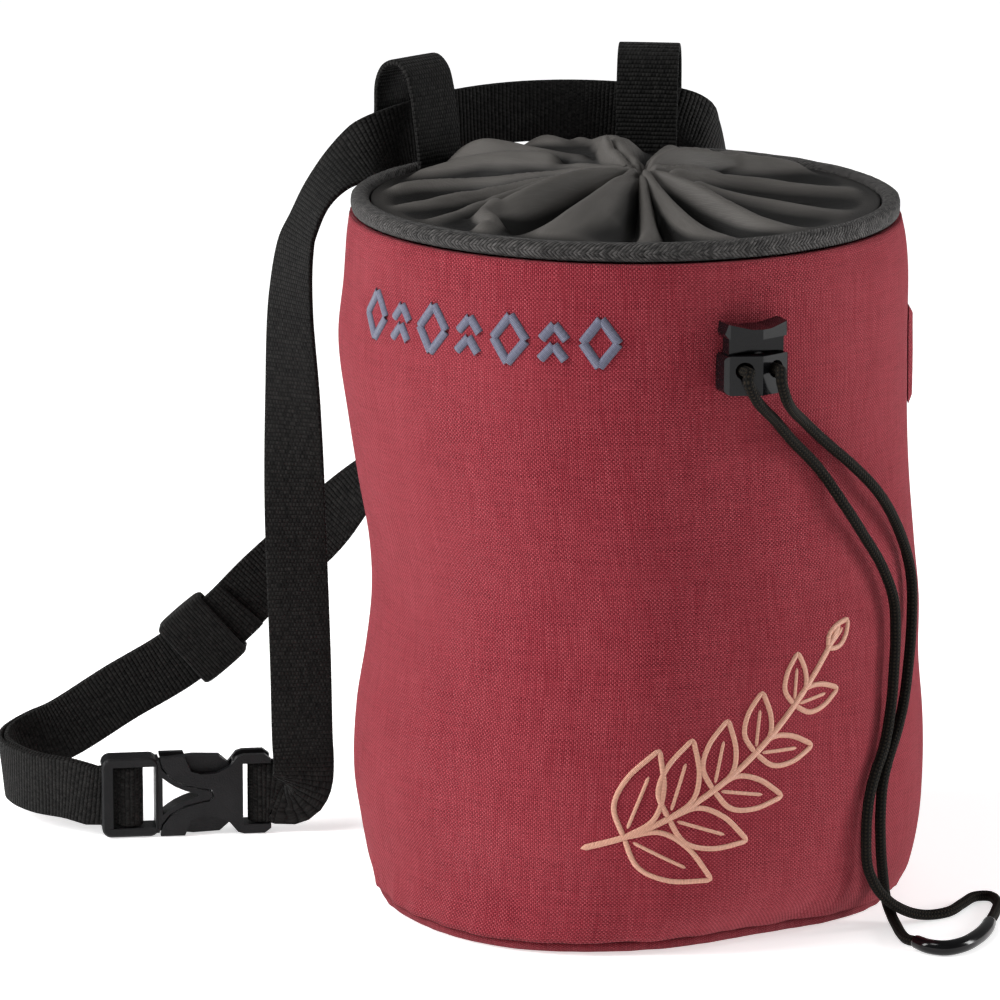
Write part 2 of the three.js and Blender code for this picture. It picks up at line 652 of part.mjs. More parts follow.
// Webbing round the adjuster bar of the prong half, in shares of the bar's width to its left
const wrapEntry = [
  { left: 1.3, back: 1 },
  { left: 0.94, back: 0.62 },
  { left: 0.62, back: 0.22 },
  { left: 0.3, back: 0.03 },
];
const wrapRows = [
  ...wrapEntry.map(({ left, back }) => inBuckle(
    adjusterBar - barWidth * left,
    THREE.MathUtils.lerp(frontStrand, entryStrand, back),
  )),
  ...roundBar(adjusterBar, 1),
  inBuckle(adjusterBar - barWidth * 0.6, backStrand - 0.25),
  inBuckle(adjusterBar - barWidth * 1.3, entryStrand + tailOffset),
].map((middle) => rowOf(middle, upright));
const wrapStations = stationsAlong(wrapRows, 3);

piece(
  'belt',
  ribbonGeometry([...mainStations, ...wrapStations, ...tailStations], webbingWidth, webbingThickness),
  webbing,
);

// Keeper: an elastic band round the belt and its doubled end
function keeperGeometry() {
  const station = mainStations[nearestTo(mainStations, keeperPlace)];
  const along = new THREE.Vector3().crossVectors(station.edge, station.face).normalize();
  const wide = webbingWidth / 2 + 2 * seatGap;
  const deep = webbingThickness + tailGap / 2 + 2 * seatGap;
  const shape = roundedRectangle(
    -wide - keeperThickness,
    -deep - keeperThickness,
    wide + keeperThickness,
    deep + keeperThickness,
    keeperThickness,
  );
  shape.holes.push(roundedRectangle(-wide, -deep, wide, deep, keeperThickness * 0.3));
  const geometry = extruded(shape, keeperLength).translate(0, 0, -keeperLength / 2);
  const middle = keeperPlace.clone().addScaledVector(station.face, -tailOffset / 2);
  const basis = new THREE.Matrix4().makeBasis(station.edge, station.face, along).setPosition(middle);
  return geometry.applyMatrix4(basis);
}
piece('keeper', keeperGeometry(), elastic);

// Buckle halves are drawn in u and v, and stand z up from the back face
const buckleGroup = new THREE.Group();
const buckleFront = buckleInward.clone().negate();
buckleGroup.quaternion.setFromRotationMatrix(new THREE.Matrix4().makeBasis(buckleAlong, upAxis, buckleFront));
buckleGroup.position.copy(buckleOrigin).addScaledVector(buckleInward, buckleDepth);
chalkBag.add(buckleGroup);

const windowLow = buckleRail;
const windowHigh = buckleHeight - buckleRail;
const frameEnd = 0.336 * buckleLength; // where the prong half meets the socket half
const crossBar = 0.9;
const noseEnd = 0.652 * buckleLength;

// Upper edge of the nose of the prong half, u as a share of the buckle length and v as a share of
// half its height above the middle
const noseEdge = [
  { u: 0.338, v: 0.92 },
  { u: 0.352, v: 0.7 },
  { u: 0.398, v: 0.46 },
  { u: 0.489, v: 0.25 },
  { u: 0.586, v: 0.15 },
  { u: 0.632, v: 0.12 },
];
const nosePoint = ({ u, v }, side, grow = 0) => new THREE.Vector2(
  u * buckleLength + grow * 0.7,
  buckleMiddle + side * (v * buckleMiddle + grow),
);

function noseShape() {
  const upper = noseEdge.map((point) => nosePoint(point, 1));
  const lower = noseEdge.map((point) => nosePoint(point, -1)).reverse();
  const root = frameEnd - crossBar;
  return new THREE.Shape([
    new THREE.Vector2(root, upper[0].y),
    ...upper,
    new THREE.Vector2(noseEnd, buckleMiddle + 0.5),
    new THREE.Vector2(noseEnd, buckleMiddle - 0.5),
    ...lower,
    new THREE.Vector2(root, lower[lower.length - 1].y),
  ]);
}

// Open triangle inside the nose
const windowEdge = [[1, 5], [2.5, 3.8], [4.3, 2.6], [6.8, 1.45], [10.4, 0.3]];
const noseWindow = () => new THREE.Shape([
  ...windowEdge.map(([u, v]) => new THREE.Vector2(frameEnd + u, buckleMiddle + v)),
  ...windowEdge.map(([u, v]) => new THREE.Vector2(frameEnd + u, buckleMiddle - v)).reverse(),
]);

// Spring prong: from the frame to the window in the socket half
const prongTip = 0.755 * buckleLength;
const prongStart = 0.505 * buckleLength;
const prongInset = 0.2;
function prongShape(side) {
  const outer = buckleMiddle - prongInset;
  const inner = outer - prongWidth;
  const at = (u, v) => new THREE.Vector2(u, buckleMiddle + side * v);
  return new THREE.Shape([
    at(frameEnd - crossBar, inner),
    at(prongStart, inner),
    at(prongTip, inner - 0.6),
    at(prongTip, outer - 2.6),
    at(prongTip - 2.6, outer - 0.3),
    at(prongStart + 1.5, outer),
    at(frameEnd - crossBar, outer - 1.2),
  ]);
}

function prongHalf() {
  const frame = extruded(roundedRectangle(0, 0, frameEnd, buckleHeight, buckleCorner), buckleDepth, 0.5);
  const prongDepth = buckleDepth - 2 * plateDepth - 2 * seatGap;
  const prongs = [1, -1].map((side) => extruded(prongShape(side), prongDepth)
    .translate(0, 0, plateDepth + seatGap));
  const nose = extruded(noseShape(), buckleDepth - 0.6).translate(0, 0, 0.3);
  const slot = block([endBarWidth, windowLow, -1], [frameEnd - crossBar, windowHigh, buckleDepth + 1]);
  const behindEndBar = block([-1, windowLow, -1], [endBarWidth + 1, windowHigh, buckleDepth - endBarDepth]);
  const hole = extruded(noseWindow(), buckleDepth + 2).translate(0, 0, -1);
  const body = cutBy(joined(frame, nose, ...prongs), slot, behindEndBar, hole);
  return toGeometry(body.add(toSolid(ellipticBar(adjusterBar))));
}

// Bar across the slot, drawn as a swept ellipse
function ellipticBar(middle) {
  const points = [];
  const faces = [];
  const sides = 8;
  for (const v of [windowLow - 0.5, windowHigh + 0.5]) {
    for (let k = 0; k < sides; k += 1) {
      const angle = (2 * Math.PI * k) / sides;
      const u = middle + (barWidth / 2) * Math.cos(angle);
      points.push(new THREE.Vector3(u, v, buckleDepth / 2 + (barDepth / 2) * Math.sin(angle)));
    }
  }
  for (let k = 0; k < sides; k += 1) {
    const next = (k + 1) % sides;
    faces.push([k, next, sides + next], [k, sides + next, sides + k]);
    if (k > 0 && k < sides - 1) faces.push([0, k + 1, k], [sides, sides + k, sides + k + 1]);
  }
  return solidGeometry(points, faces);
}

// Upper edge of the socket half, u as a share of the buckle length and fall below the top as a
// share of the buckle height: arm, waist and webbing end
const socketEdge = [
  { u: 0.488, fall: 0 },
  { u: 0.507, fall: 0.09 },
  { u: 0.527, fall: 0.19 },
  { u: 0.585, fall: 0.23 },
  { u: 0.678, fall: 0.222 },
  { u: 0.755, fall: 0.145 },
  { u: 0.802, fall: 0.023 },
  { u: 0.838, fall: 0 },
  { u: 0.962, fall: 0 },
  { u: 1, fall: 0.06 },
];

// Outline of the socket half's plates, with a notch for the nose
function socketShape() {
  const upper = [
    new THREE.Vector2(noseEnd + 1.4 * seatGap, buckleMiddle + 0.5 + 1.3 * seatGap),
    ...noseEdge.map((point) => nosePoint(point, 1, 1.3 * seatGap)).reverse(),
    new THREE.Vector2(noseEdge[0].u * buckleLength + seatGap, buckleHeight),
    ...socketEdge.map(({ u, fall }) => new THREE.Vector2(u * buckleLength, buckleHeight - fall * buckleHeight)),
  ];
  const lower = upper.map((point) => new THREE.Vector2(point.x, buckleHeight - point.y)).reverse();
  return new THREE.Shape([...upper, ...lower]);
}

function socketHalf() {
  const plates = [0, buckleDepth - plateDepth].map((level) => extruded(socketShape(), plateDepth)
    .translate(0, 0, level));
  const coreStart = prongTip + seatGap;
  const core = block(
    [coreStart + 0.6, 1.6, plateDepth - 0.2],
    [buckleLength - 0.8, buckleHeight - 1.6, buckleDepth - plateDepth + 0.2],
  );
  const spine = block(
    [noseEnd + 2 * seatGap, buckleMiddle - 3, plateDepth - 0.2],
    [coreStart + 1, buckleMiddle + 3, buckleDepth - plateDepth + 0.2],
  );
  const slotStart = socketBar - barWidth / 2 - wrapGap - webbingThickness / 2 - 1.4;
  const slot = block([slotStart, windowLow, -1], [buckleLength + 1, windowHigh, buckleDepth + 1]);
  const body = cutBy(joined(...plates, core, spine), slot);
  return toGeometry(body.add(toSolid(ellipticBar(socketBar))));
}
piece('buckle_male', prongHalf(), buckleResin, buckleGroup);
piece('buckle_female', socketHalf(), buckleResin, buckleGroup);

// Cord lock on the wall: x along the wall, y towards it, z up from the underside of the body
const lockTurn = -90 + lockAngle - THREE.MathUtils.radToDeg(layAngle);
const lockShare = wallShare(lockTurn, lockHeightAboveFloor + lockBodyHeight / 2);
const lockGroup = new THREE.Group();
lockGroup.rotation.z = radians(lockAngle);
lockGroup.position.copy(wallPoint(lockTurn, lockShare, 2 * seatGap + lockDepth)).setZ(lockHeightAboveFloor);
chalkBag.add(lockGroup);

const plungerHalf = lockWidth / 2 - lockWall - slideGap;

// Shape in x and z, standing lockDepth along y
function standing(shape, depth, front) {
  return extruded(shape, depth).rotateX(Math.PI / 2).translate(0, front + depth, 0);
}

// Plan of the lock: a flat back and a front that falls back from a ridge, between two levels
function lockPlan(inset, low, high) {
  const half = lockWidth / 2 - inset;
  const side = lockFacet + inset / 2;
  const shape = new THREE.Shape([
    new THREE.Vector2(0, inset),
    new THREE.Vector2(half - 0.9, side - 0.3),
    new THREE.Vector2(half, side + 0.9),
    new THREE.Vector2(half, lockDepth - inset - 0.6),
    new THREE.Vector2(half - 0.6, lockDepth - inset),
    new THREE.Vector2(0.6 - half, lockDepth - inset),
    new THREE.Vector2(-half, lockDepth - inset - 0.6),
    new THREE.Vector2(-half, side + 0.9),
    new THREE.Vector2(0.9 - half, side - 0.3),
  ]);
  return toSolid(extruded(shape, high - low).translate(0, 0, low));
}

function lockBody() {
  const half = lockWidth / 2;
  const outline = standing(roundedRectangle(-half, 0, half, lockBodyHeight, 1.4), lockDepth + 2, -1);
  const outer = lockPlan(0, -1, lockBodyHeight + 1).intersect(toSolid(outline));
  const slotHalf = plungerHalf + slideGap;
  const slotFront = lockDepth / 2 + plungerSet - plungerDepth / 2 - slideGap;
  const slotBack = slotFront + plungerDepth + 2 * slideGap;
  const slot = block([-slotHalf, slotFront, lockFloor], [slotHalf, slotBack, lockBodyHeight + 1]);
  const radius = cordHoleDiameter / 2;
  const holes = [-1, 1].map((side) => new THREE.CylinderGeometry(radius, radius, lockDepth + 2, 14)
    .translate((side * cordSpacing) / 2, lockDepth / 2, cordHoleHeight));
  return toGeometry(cutBy(outer, slot, ...holes));
}

function lockButton() {
  const half = lockWidth / 2 - 0.2;
  const low = lockBodyHeight + buttonStandoff;
  const high = low + buttonCapHeight;
  const cap = new THREE.Shape();
  cap.moveTo(-half + 0.7, low);
  cap.lineTo(half - 0.7, low);
  cap.lineTo(half, low + buttonCapHeight * 0.3);
  cap.lineTo(half - 0.6, high);
  cap.quadraticCurveTo(0, high - buttonCapHeight * 0.75, -half + 0.6, high);
  cap.lineTo(-half, low + buttonCapHeight * 0.3);
  const capSolid = lockPlan(0.2, low - 1, high + 1).intersect(toSolid(standing(cap, lockDepth + 2, -1)));
  const clear = cordDiameter / 2 + seatGap;
  const windowFloor = cordHoleHeight - clear;
  const windowTop = cordHoleHeight + clear + buttonTravel;
  const windowHalf = cordSpacing / 2 + clear;
  const front = lockDepth / 2 + plungerSet - plungerDepth / 2;
  const back = front + plungerDepth;
  const plungerLow = lockFloor + slideGap + buttonTravel;
  const plunger = block([-plungerHalf, front, plungerLow], [plungerHalf, back, low + 1]);
  const opening = block([-windowHalf, -1, windowFloor], [windowHalf, lockDepth + 1, windowTop]);
  return toGeometry(cutBy(capSolid.add(toSolid(plunger)), opening));
}
piece('cord_lock_body', lockBody(), lockResin, lockGroup);
piece('cord_lock_button', lockButton(), lockResin, lockGroup);

// Cord ends leave the lock, hang over the wall and lie on the floor: across, back and up
lockGroup.updateMatrixWorld(true);
const holePoint = (side, y) => new THREE.Vector3((side * cordSpacing) / 2, y, cordHoleHeight)
  .applyMatrix4(lockGroup.matrixWorld);

const cordRouteA = [
  [24.9, -78.9, 147.6], [25.8, -78.2, 145.2], [27.4, -76.5, 142], [29.6, -72.4, 138.8], [32.2, -66.8, 135.2],
  [36.2, -62, 129.6], [43.2, -56.2, 121.2], [50.2, -52.2, 110.6], [55.2, -47, 102],
  [60, -41.6, 93.2],
  [63.3, -38.6, 84], [64, -38.6, 75.5], [63.8, -39.2, 66.8], [63.1, -41, 57.2],
  [61.3, -44.8, 47.6], [59, -48, 41.6], [57.3, -50.2, 34.4], [56.9, -50.6, 25.8],
  [57.6, -49, 17.6], [60.2, -46.6, 11.4], [62.8, -44.2, 7.9], [65.6, -41.8, 5.2],
  [69.8, -38.8, 2.6], [74, -36.6, 1.5], [79, -33.6, 1.4], [83.2, -26.4, 1.4],
  [86.8, -20.6, 1.4], [90.4, -20.2, 1.4], [92, -25.6, 1.4], [90.7, -34.3, 1.5],
  [89.1, -41.4, 1.8], [88.6, -44.1, 2],
];
const cordRouteB = [
  [32.9, -75.6, 147.5], [33.5, -75, 145], [34.4, -73.8, 142], [36, -69.4, 138.6], [38.8, -62.6, 134.6],
  [44.4, -55.9, 128], [51.8, -49.4, 120.4], [58.2, -43.6, 112.8], [63.4, -35.6, 103.2],
  [67.4, -28.9, 91.8], [68.6, -28.1, 84.2], [68.4, -30.8, 73], [67.9, -32.1, 66.6],
  [66.6, -35.5, 56.8], [64.6, -39.8, 49.6], [62.6, -43, 44.2], [61.1, -45.6, 38.4],
  [60.6, -46.6, 30.4], [61, -45.2, 20.8], [61.8, -42, 13.6], [62.6, -38.8, 8],
  [63.4, -37, 4.4], [64.4, -38.8, 2], [65.2, -45, 1.45], [66, -52, 1.4],
  [67.2, -57.6, 1.7], [68.9, -59.9, 2],
];
const cordEndRoute = [
  [69.1, -60.2, 2], [72, -63.9, 2], [76, -65.2, 2], [80.3, -62.6, 2],
  [84.4, -56.4, 2], [87.2, -49.6, 2], [88.5, -44.4, 2],
];

const cordSides = 8;
const cordStep = 3 * cordDiameter;

// Round cord along a smooth curve through points, closed at both ends
function cordGeometry(route, diameter, stepLength) {
  const curve = new THREE.CatmullRomCurve3(route);
  const points = [];
  const faces = [];
  const side = new THREE.Vector3().crossVectors(curve.getTangent(0), upAxis);
  const places = placesAlong(route, stepLength);
  for (const place of places) {
    const along = curve.getTangent(place);
    side.addScaledVector(along, -side.dot(along)).normalize();
    const rise = new THREE.Vector3().crossVectors(along, side);
    for (let k = 0; k < cordSides; k += 1) {
      const angle = (2 * Math.PI * (k + 0.5)) / cordSides;
      points.push(curve.getPoint(place)
        .addScaledVector(side, (diameter / 2) * Math.cos(angle))
        .addScaledVector(rise, (diameter / 2) * Math.sin(angle)));
    }
  }
  for (let i = 0; i < places.length - 1; i += 1) {
    for (let k = 0; k < cordSides; k += 1) {
      const a = i * cordSides + k;
      const b = i * cordSides + ((k + 1) % cordSides);
      faces.push([a, b, b + cordSides], [a, b + cordSides, a + cordSides]);
    }
  }
  const last = (places.length - 1) * cordSides;
  for (let k = 1; k < cordSides - 1; k += 1) faces.push([0, k + 1, k], [last, last + k, last + k + 1]);
  return solidGeometry(points, faces);
}

function cordPoints(side, route) {
  const start = [lockDepth - seatGap, lockDepth * 0.4, 0.7, -1.2].map((depth) => holePoint(side, depth));
  return [...start, ...route.map((point) => laid(...point))];
}
piece('cord_a', cordGeometry(cordPoints(-1, cordRouteA), cordDiameter, cordStep), cordBraid);
piece('cord_b', cordGeometry(cordPoints(1, cordRouteB), cordDiameter, cordStep), cordBraid);
piece('cord_end', cordGeometry(cordEndRoute.map((point) => laid(...point)), cordEndDiameter, cordStep), lockResin);

// Brush sleeve: a flat patch sewn to the wall along its two upright edges
function sleeveGeometry() {
  const columns = 8;
  const levels = 3;
  const points = [];
  const faces = [];
  for (const offset of [seatGap, seatGap + sleeveThickness]) {
    for (let i = 0; i <= columns; i += 1) {
      const turn = sleeveAngle - THREE.MathUtils.radToDeg(layAngle) + sleeveSpan * (i / columns - 0.5);
      for (let k = 0; k <= levels; k += 1) {
        const level = sleeveLowEdge + (sleeveHeight * k) / levels;
        points.push(wallPoint(turn, wallShare(turn, level), offset));
      }
    }
  }
  const layer = (columns + 1) * (levels + 1);
  const at = (side, i, k) => side * layer + i * (levels + 1) + k;
  const quad = (a, b, c, d) => faces.push([a, b, c], [a, c, d]);
  for (let i = 0; i < columns; i += 1) {
    for (let k = 0; k < levels; k += 1) {
      quad(at(1, i, k), at(1, i + 1, k), at(1, i + 1, k + 1), at(1, i, k + 1));
      quad(at(0, i, k), at(0, i, k + 1), at(0, i + 1, k + 1), at(0, i + 1, k));
    }
    quad(at(0, i, 0), at(0, i + 1, 0), at(1, i + 1, 0), at(1, i, 0));
    quad(at(1, i, levels), at(1, i + 1, levels), at(0, i + 1, levels), at(0, i, levels));
  }
  for (let k = 0; k < levels; k += 1) {
    quad(at(0, 0, k), at(1, 0, k), at(1, 0, k + 1), at(0, 0, k + 1));
    quad(at(1, columns, k), at(0, columns, k), at(0, columns, k + 1), at(1, columns, k + 1));
  }
  return solidGeometry(points, faces);
}
piece('brush_sleeve', sleeveGeometry(), redFabric);

export default chalkBag;
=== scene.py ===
import math

import bmesh
import bpy
import numpy as np
from mathutils import Matrix, Vector, noise


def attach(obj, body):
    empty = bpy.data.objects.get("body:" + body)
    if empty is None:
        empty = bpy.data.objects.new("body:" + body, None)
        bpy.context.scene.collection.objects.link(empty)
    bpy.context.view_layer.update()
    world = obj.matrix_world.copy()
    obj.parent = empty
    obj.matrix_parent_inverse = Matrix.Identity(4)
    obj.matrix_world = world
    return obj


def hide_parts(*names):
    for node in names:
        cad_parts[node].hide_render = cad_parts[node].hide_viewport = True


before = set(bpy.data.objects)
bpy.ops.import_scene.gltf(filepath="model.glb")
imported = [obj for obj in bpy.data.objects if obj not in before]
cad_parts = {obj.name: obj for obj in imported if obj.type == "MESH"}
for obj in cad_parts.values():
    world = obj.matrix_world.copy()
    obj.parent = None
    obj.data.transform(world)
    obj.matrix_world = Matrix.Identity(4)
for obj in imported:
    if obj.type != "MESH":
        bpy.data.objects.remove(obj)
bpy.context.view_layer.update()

print("frame loaded,", len(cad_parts), "nodes")

# The bag leans, and the belt and cords lie, along axes turned about +Z
lay = math.radians(-20)
acrossAxis = Vector((math.cos(lay), math.sin(lay), 0))
backAxis = Vector((-math.sin(lay), math.cos(lay), 0))
upAxis = Vector((0, 0, 1))


def laid(across, back, up):
    return acrossAxis * across + backAxis * back + upAxis * up


def laidMm(across, back, up):
    return laid(across, back, up) / 1000


def cosSin(degrees):
    angle = math.radians(degrees)
    return math.cos(angle), math.sin(angle)


# value of one column of a table at a place between its rows, on a smooth curve
def between(table, at, column):
    row = 0
    while row < len(table) - 2 and at > table[row + 1][0]:
        row += 1
    here, there = table[row], table[row + 1]
    before, later = table[max(row - 1, 0)], table[min(row + 2, len(table) - 1)]
    step = there[0] - here[0]
    s = min(max((at - here[0]) / step, 0), 1)
    leave = (there[column] - before[column]) / max(there[0] - before[0], 1e-6) * step
    arrive = (later[column] - here[column]) / max(later[0] - here[0], 1e-6) * step
    s2, s3 = s * s, s * s * s
    return ((2 * s3 - 3 * s2 + 1) * here[column] + (s3 - 2 * s2 + s) * leave
            + (3 * s2 - 2 * s3) * there[column] + (s3 - s2) * arrive)


# camera and light

camera = {
    "place": (-0.53089, -1.35893, 0.44953),
    "right": (0.93998, -0.34120, 0.00364),
    "up": (0.07633, 0.22066, 0.97236),
    "back": (-0.33257, -0.91373, 0.23346),
    "lens": 213.39,
}
cameraData = bpy.data.cameras.new("camera")
cameraData.lens = camera["lens"]
cameraData.sensor_width = 36
cameraData.clip_end = 50
cameraObject = bpy.data.objects.new("camera", cameraData)
bpy.context.collection.objects.link(cameraObject)
axes = [Vector(camera[key]).to_4d() for key in ("right", "up", "back", "place")]
for axis in axes[:3]:
    axis.w = 0
cameraObject.matrix_world = Matrix(axes).transposed()
bpy.context.scene.camera = cameraObject

# places are to the right, up and towards the camera from the bag's middle
softLights = [
    {"name": "left_softbox", "at": (-1.3, 0.62, 0.3), "size": (0.5, 0.8), "watts": 22.5},
    {"name": "top_softbox", "at": (-0.6, 1.2, 0.5), "size": (0.4, 0.4), "watts": 4.5},
    {"name": "right_softbox", "at": (1.3, 0.12, -0.15), "size": (0.35, 1.0), "watts": 20},
    {"name": "back_wash", "at": (0.0, 1.5, -2.2), "size": (2.6, 1.6), "watts": 8},
    {"name": "front_fill", "at": (0.25, 0.3, 1.6), "size": (1.2, 1.2), "watts": 1.6},
]
bagMiddle = Vector((0, 0, 0.09))
for light in softLights:
    lamp = bpy.data.lights.new(light["name"], "AREA")
    lamp.shape = "RECTANGLE"
    lamp.size, lamp.size_y = light["size"]
    lamp.energy = light["watts"]
    lampObject = bpy.data.objects.new(light["name"], lamp)
    across, up, towards = light["at"]
    lampObject.location = bagMiddle + laid(across, -towards, up)
    lampObject.rotation_euler = (bagMiddle - lampObject.location).to_track_quat("-Z", "Y").to_euler()
    lampObject.visible_glossy = light["name"] not in ("front_fill", "back_wash")
    bpy.context.collection.objects.link(lampObject)

world = bpy.data.worlds.new("studio")
world.use_nodes = True
sky = world.node_tree.nodes["Background"].inputs
sky["Color"].default_value = (1, 1, 1, 1)
sky["Strength"].default_value = 0.2
bpy.context.scene.world = world
bpy.context.scene.view_settings.view_transform = "Standard"


# shader tools

def newMaterial(name):
    material = bpy.data.materials.new(name)
    material.use_nodes = True
    return material, material.node_tree, material.node_tree.nodes["Principled BSDF"]


# sets the shader's own sockets
def setLook(shader, **values):
    for label, value in values.items():
        shader.inputs[label.replace("_", " ")].default_value = value


def link(tree, source, target):
    tree.links.new(source, target)


def setSocket(tree, socket, value):
    if isinstance(value, bpy.types.NodeSocket):
        link(tree, value, socket)
    elif value is not None:
        socket.default_value = value


def maths(tree, operation, *values):
    node = tree.nodes.new("ShaderNodeMath")
    node.operation = operation
    for socket, value in zip(node.inputs, values):
        setSocket(tree, socket, value)
    return node.outputs[0]


def times(tree, first, second):
    return maths(tree, "MULTIPLY", first, second)


def plus(tree, first, second):
    return maths(tree, "ADD", first, second)


def minus(tree, first, second):
    return maths(tree, "SUBTRACT", first, second)


def ratio(tree, first, second):
    return maths(tree, "DIVIDE", first, second)


def sineOf(tree, value, rate=math.pi):
    return maths(tree, "SINE", times(tree, value, rate))


# rounded ridges from a value that swings about 0
def ridge(tree, value, power=0.6):
    return maths(tree, "POWER", maths(tree, "ABSOLUTE", value), power)


def combine(tree, x, y, z=0.0):
    node = tree.nodes.new("ShaderNodeCombineXYZ")
    for socket, value in zip(node.inputs, (x, y, z)):
        setSocket(tree, socket, value)
    return node.outputs[0]


def parted(tree, place):
    node = tree.nodes.new("ShaderNodeSeparateXYZ")
    link(tree, place, node.inputs[0])
    return node.outputs[0], node.outputs[1]


def noiseOf(tree, place, scale=1.0, detail=2.0, rough=0.5):
    node = tree.nodes.new("ShaderNodeTexNoise")
    setSocket(tree, node.inputs["Vector"], place)
    setSocket(tree, node.inputs["Scale"], scale)
    node.inputs["Detail"].default_value = detail
    node.inputs["Roughness"].default_value = rough
    return node.outputs["Fac"]


def mixColour(tree, share, first, second):
    node = tree.nodes.new("ShaderNodeMix")
    node.data_type = "RGBA"
    for label, value in (("Factor", share), ("A", first), ("B", second)):
        setSocket(tree, node.inputs[label], value)
    return node.outputs["Result"]


def spread(tree, value, low, high, toLow=0.0, toHigh=1.0):
    node = tree.nodes.new("ShaderNodeMapRange")
    for label, end in (("From Min", low), ("From Max", high), ("To Min", toLow), ("To Max", toHigh)):
        node.inputs[label].default_value = end
    setSocket(tree, node.inputs["Value"], value)
    return node.outputs["Result"]


def bumpOf(tree, shader, height, distance):
    node = tree.nodes.new("ShaderNodeBump")
    node.inputs["Strength"].default_value = 1.0
    node.inputs["Distance"].default_value = distance
    link(tree, height, node.inputs["Height"])
    link(tree, node.outputs["Normal"], shader.inputs["Normal"])


def layPlace(tree):
    node = tree.nodes.new("ShaderNodeUVMap")
    node.uv_map = "lay"
    return node.outputs["UV"]


def objectPlace(tree):
    return tree.nodes.new("ShaderNodeTexCoord").outputs["Object"]


def newGroup(name, inputs, outputs):
    group = bpy.data.node_groups.new(name, "ShaderNodeTree")
    for label, kind, value in inputs:
        socket = group.interface.new_socket(label, in_out="INPUT", socket_type=kind)
        if value is not None:
            socket.default_value = value
    for label, kind in outputs:
        group.interface.new_socket(label, in_out="OUTPUT", socket_type=kind)
    into = group.nodes.new("NodeGroupInput")
    out = group.nodes.new("NodeGroupOutput")
    return group, into.outputs, out.inputs


def useGroup(tree, group, **values):
    node = tree.nodes.new("ShaderNodeGroup")
    node.node_tree = group
    for label, value in values.items():
        setSocket(tree, node.inputs[label.replace("_", " ")], value)
    return node.outputs


def darkened(tone, share):
    return tuple(share * v for v in tone[:3]) + (1,)


number, colour, vector = "NodeSocketFloat", "NodeSocketColor", "NodeSocketVector"


# plain weave: each yarn has its own streaks, and the yarn on top shows
def weaveGroup():
    group, into, out = newGroup(
        "plain weave",
        [("Place", vector, None), ("Yarn", number, 0.0006), ("Streak", number, 90.0)],
        [("Over", number), ("Warp Shade", number), ("Weft Shade", number), ("Relief", number)],
    )
    along, across = parted(group, into["Place"])
    wobble = noiseOf(group, into["Place"], 260.0, 2.0)
    shift = times(group, minus(group, wobble, 0.5), 0.5)
    x = plus(group, ratio(group, along, into["Yarn"]), shift)
    y = minus(group, ratio(group, across, into["Yarn"]), shift)
    product = times(group, sineOf(group, x), sineOf(group, y))
    link(group, maths(group, "GREATER_THAN", product, 0.0), out["Over"])
    link(group, ridge(group, product), out["Relief"])
    # odd rates keep the streaks of neighbouring yarns apart
    warp = times(group, maths(group, "FLOOR", x), 7.31)
    weft = times(group, maths(group, "FLOOR", y), 5.17)
    warp = combine(group, warp, times(group, across, into["Streak"]))
    weft = combine(group, times(group, along, into["Streak"]), weft, 3.0)
    link(group, noiseOf(group, warp), out["Warp Shade"])
    link(group, noiseOf(group, weft), out["Weft Shade"])
    return group


# ribs across a narrow band, each a row of short floats
def ribGroup():
    group, into, out = newGroup(
        "rib weave",
        [("Place", vector, None), ("Rib", number, 0.00105), ("Float", number, 0.0009),
         ("Slant", number, 0.0)],
        [("Relief", number), ("Shade", number)],
    )
    u, v = parted(group, into["Place"])
    wobble = times(group, minus(group, noiseOf(group, into["Place"], 220.0, 1.0), 0.5), 0.35)
    across = ratio(group, v, into["Float"])
    along = plus(group, ratio(group, u, into["Rib"]), wobble)
    along = plus(group, along, times(group, across, into["Slant"]))
    row = maths(group, "FLOOR", along)
    parity = times(group, maths(group, "MODULO", row, 2.0), 0.5)
    ribs, floats = (ridge(group, sineOf(group, way)) for way in (along, plus(group, across, parity)))
    link(group, times(group, ribs, maths(group, "MULTIPLY_ADD", floats, 0.45, 0.55)), out["Relief"])
    fibres = combine(group, times(group, row, 3.7), times(group, v, 900.0))
    link(group, noiseOf(group, fibres), out["Shade"])
    return group


# slow change of tone over cloth that has been handled
def handledGroup():
    group, into, out = newGroup(
        "handled cloth",
        [("Clean", colour, (0.5, 0.5, 0.5, 1)), ("Dusty", colour, (0.6, 0.6, 0.6, 1)),
         ("Size", number, 30.0), ("Amount", number, 0.3)],
        [("Colour", colour)],
    )
    cloud = noiseOf(group, objectPlace(group), into["Size"], 4.0, 0.6)
    share = times(group, spread(group, cloud, 0.42, 0.72), into["Amount"])
    link(group, mixColour(group, share, into["Clean"], into["Dusty"]), out["Colour"])
    return group


# fine grain of a moulded surface with faint scuffs
def mouldGroup():
    group, into, out = newGroup(
        "moulded grain",
        [("Grain", number, 2500.0), ("Scuff", number, 60.0), ("Gloss", number, 0.4), ("Dull", number, 0.6)],
        [("Relief", number), ("Roughness", number), ("Scuffs", number)],
    )
    place = objectPlace(group)
    scuffs = spread(group, noiseOf(group, place, into["Scuff"], 5.0, 0.65), 0.5, 0.75)
    link(group, noiseOf(group, place, into["Grain"], 2.0, 0.7), out["Relief"])
    link(group, scuffs, out["Scuffs"])
    rough = plus(group, into["Gloss"], times(group, scuffs, minus(group, into["Dull"], into["Gloss"])))
    link(group, rough, out["Roughness"])
    return group


weave, ribWeave, handled, moulded = weaveGroup(), ribGroup(), handledGroup(), mouldGroup()

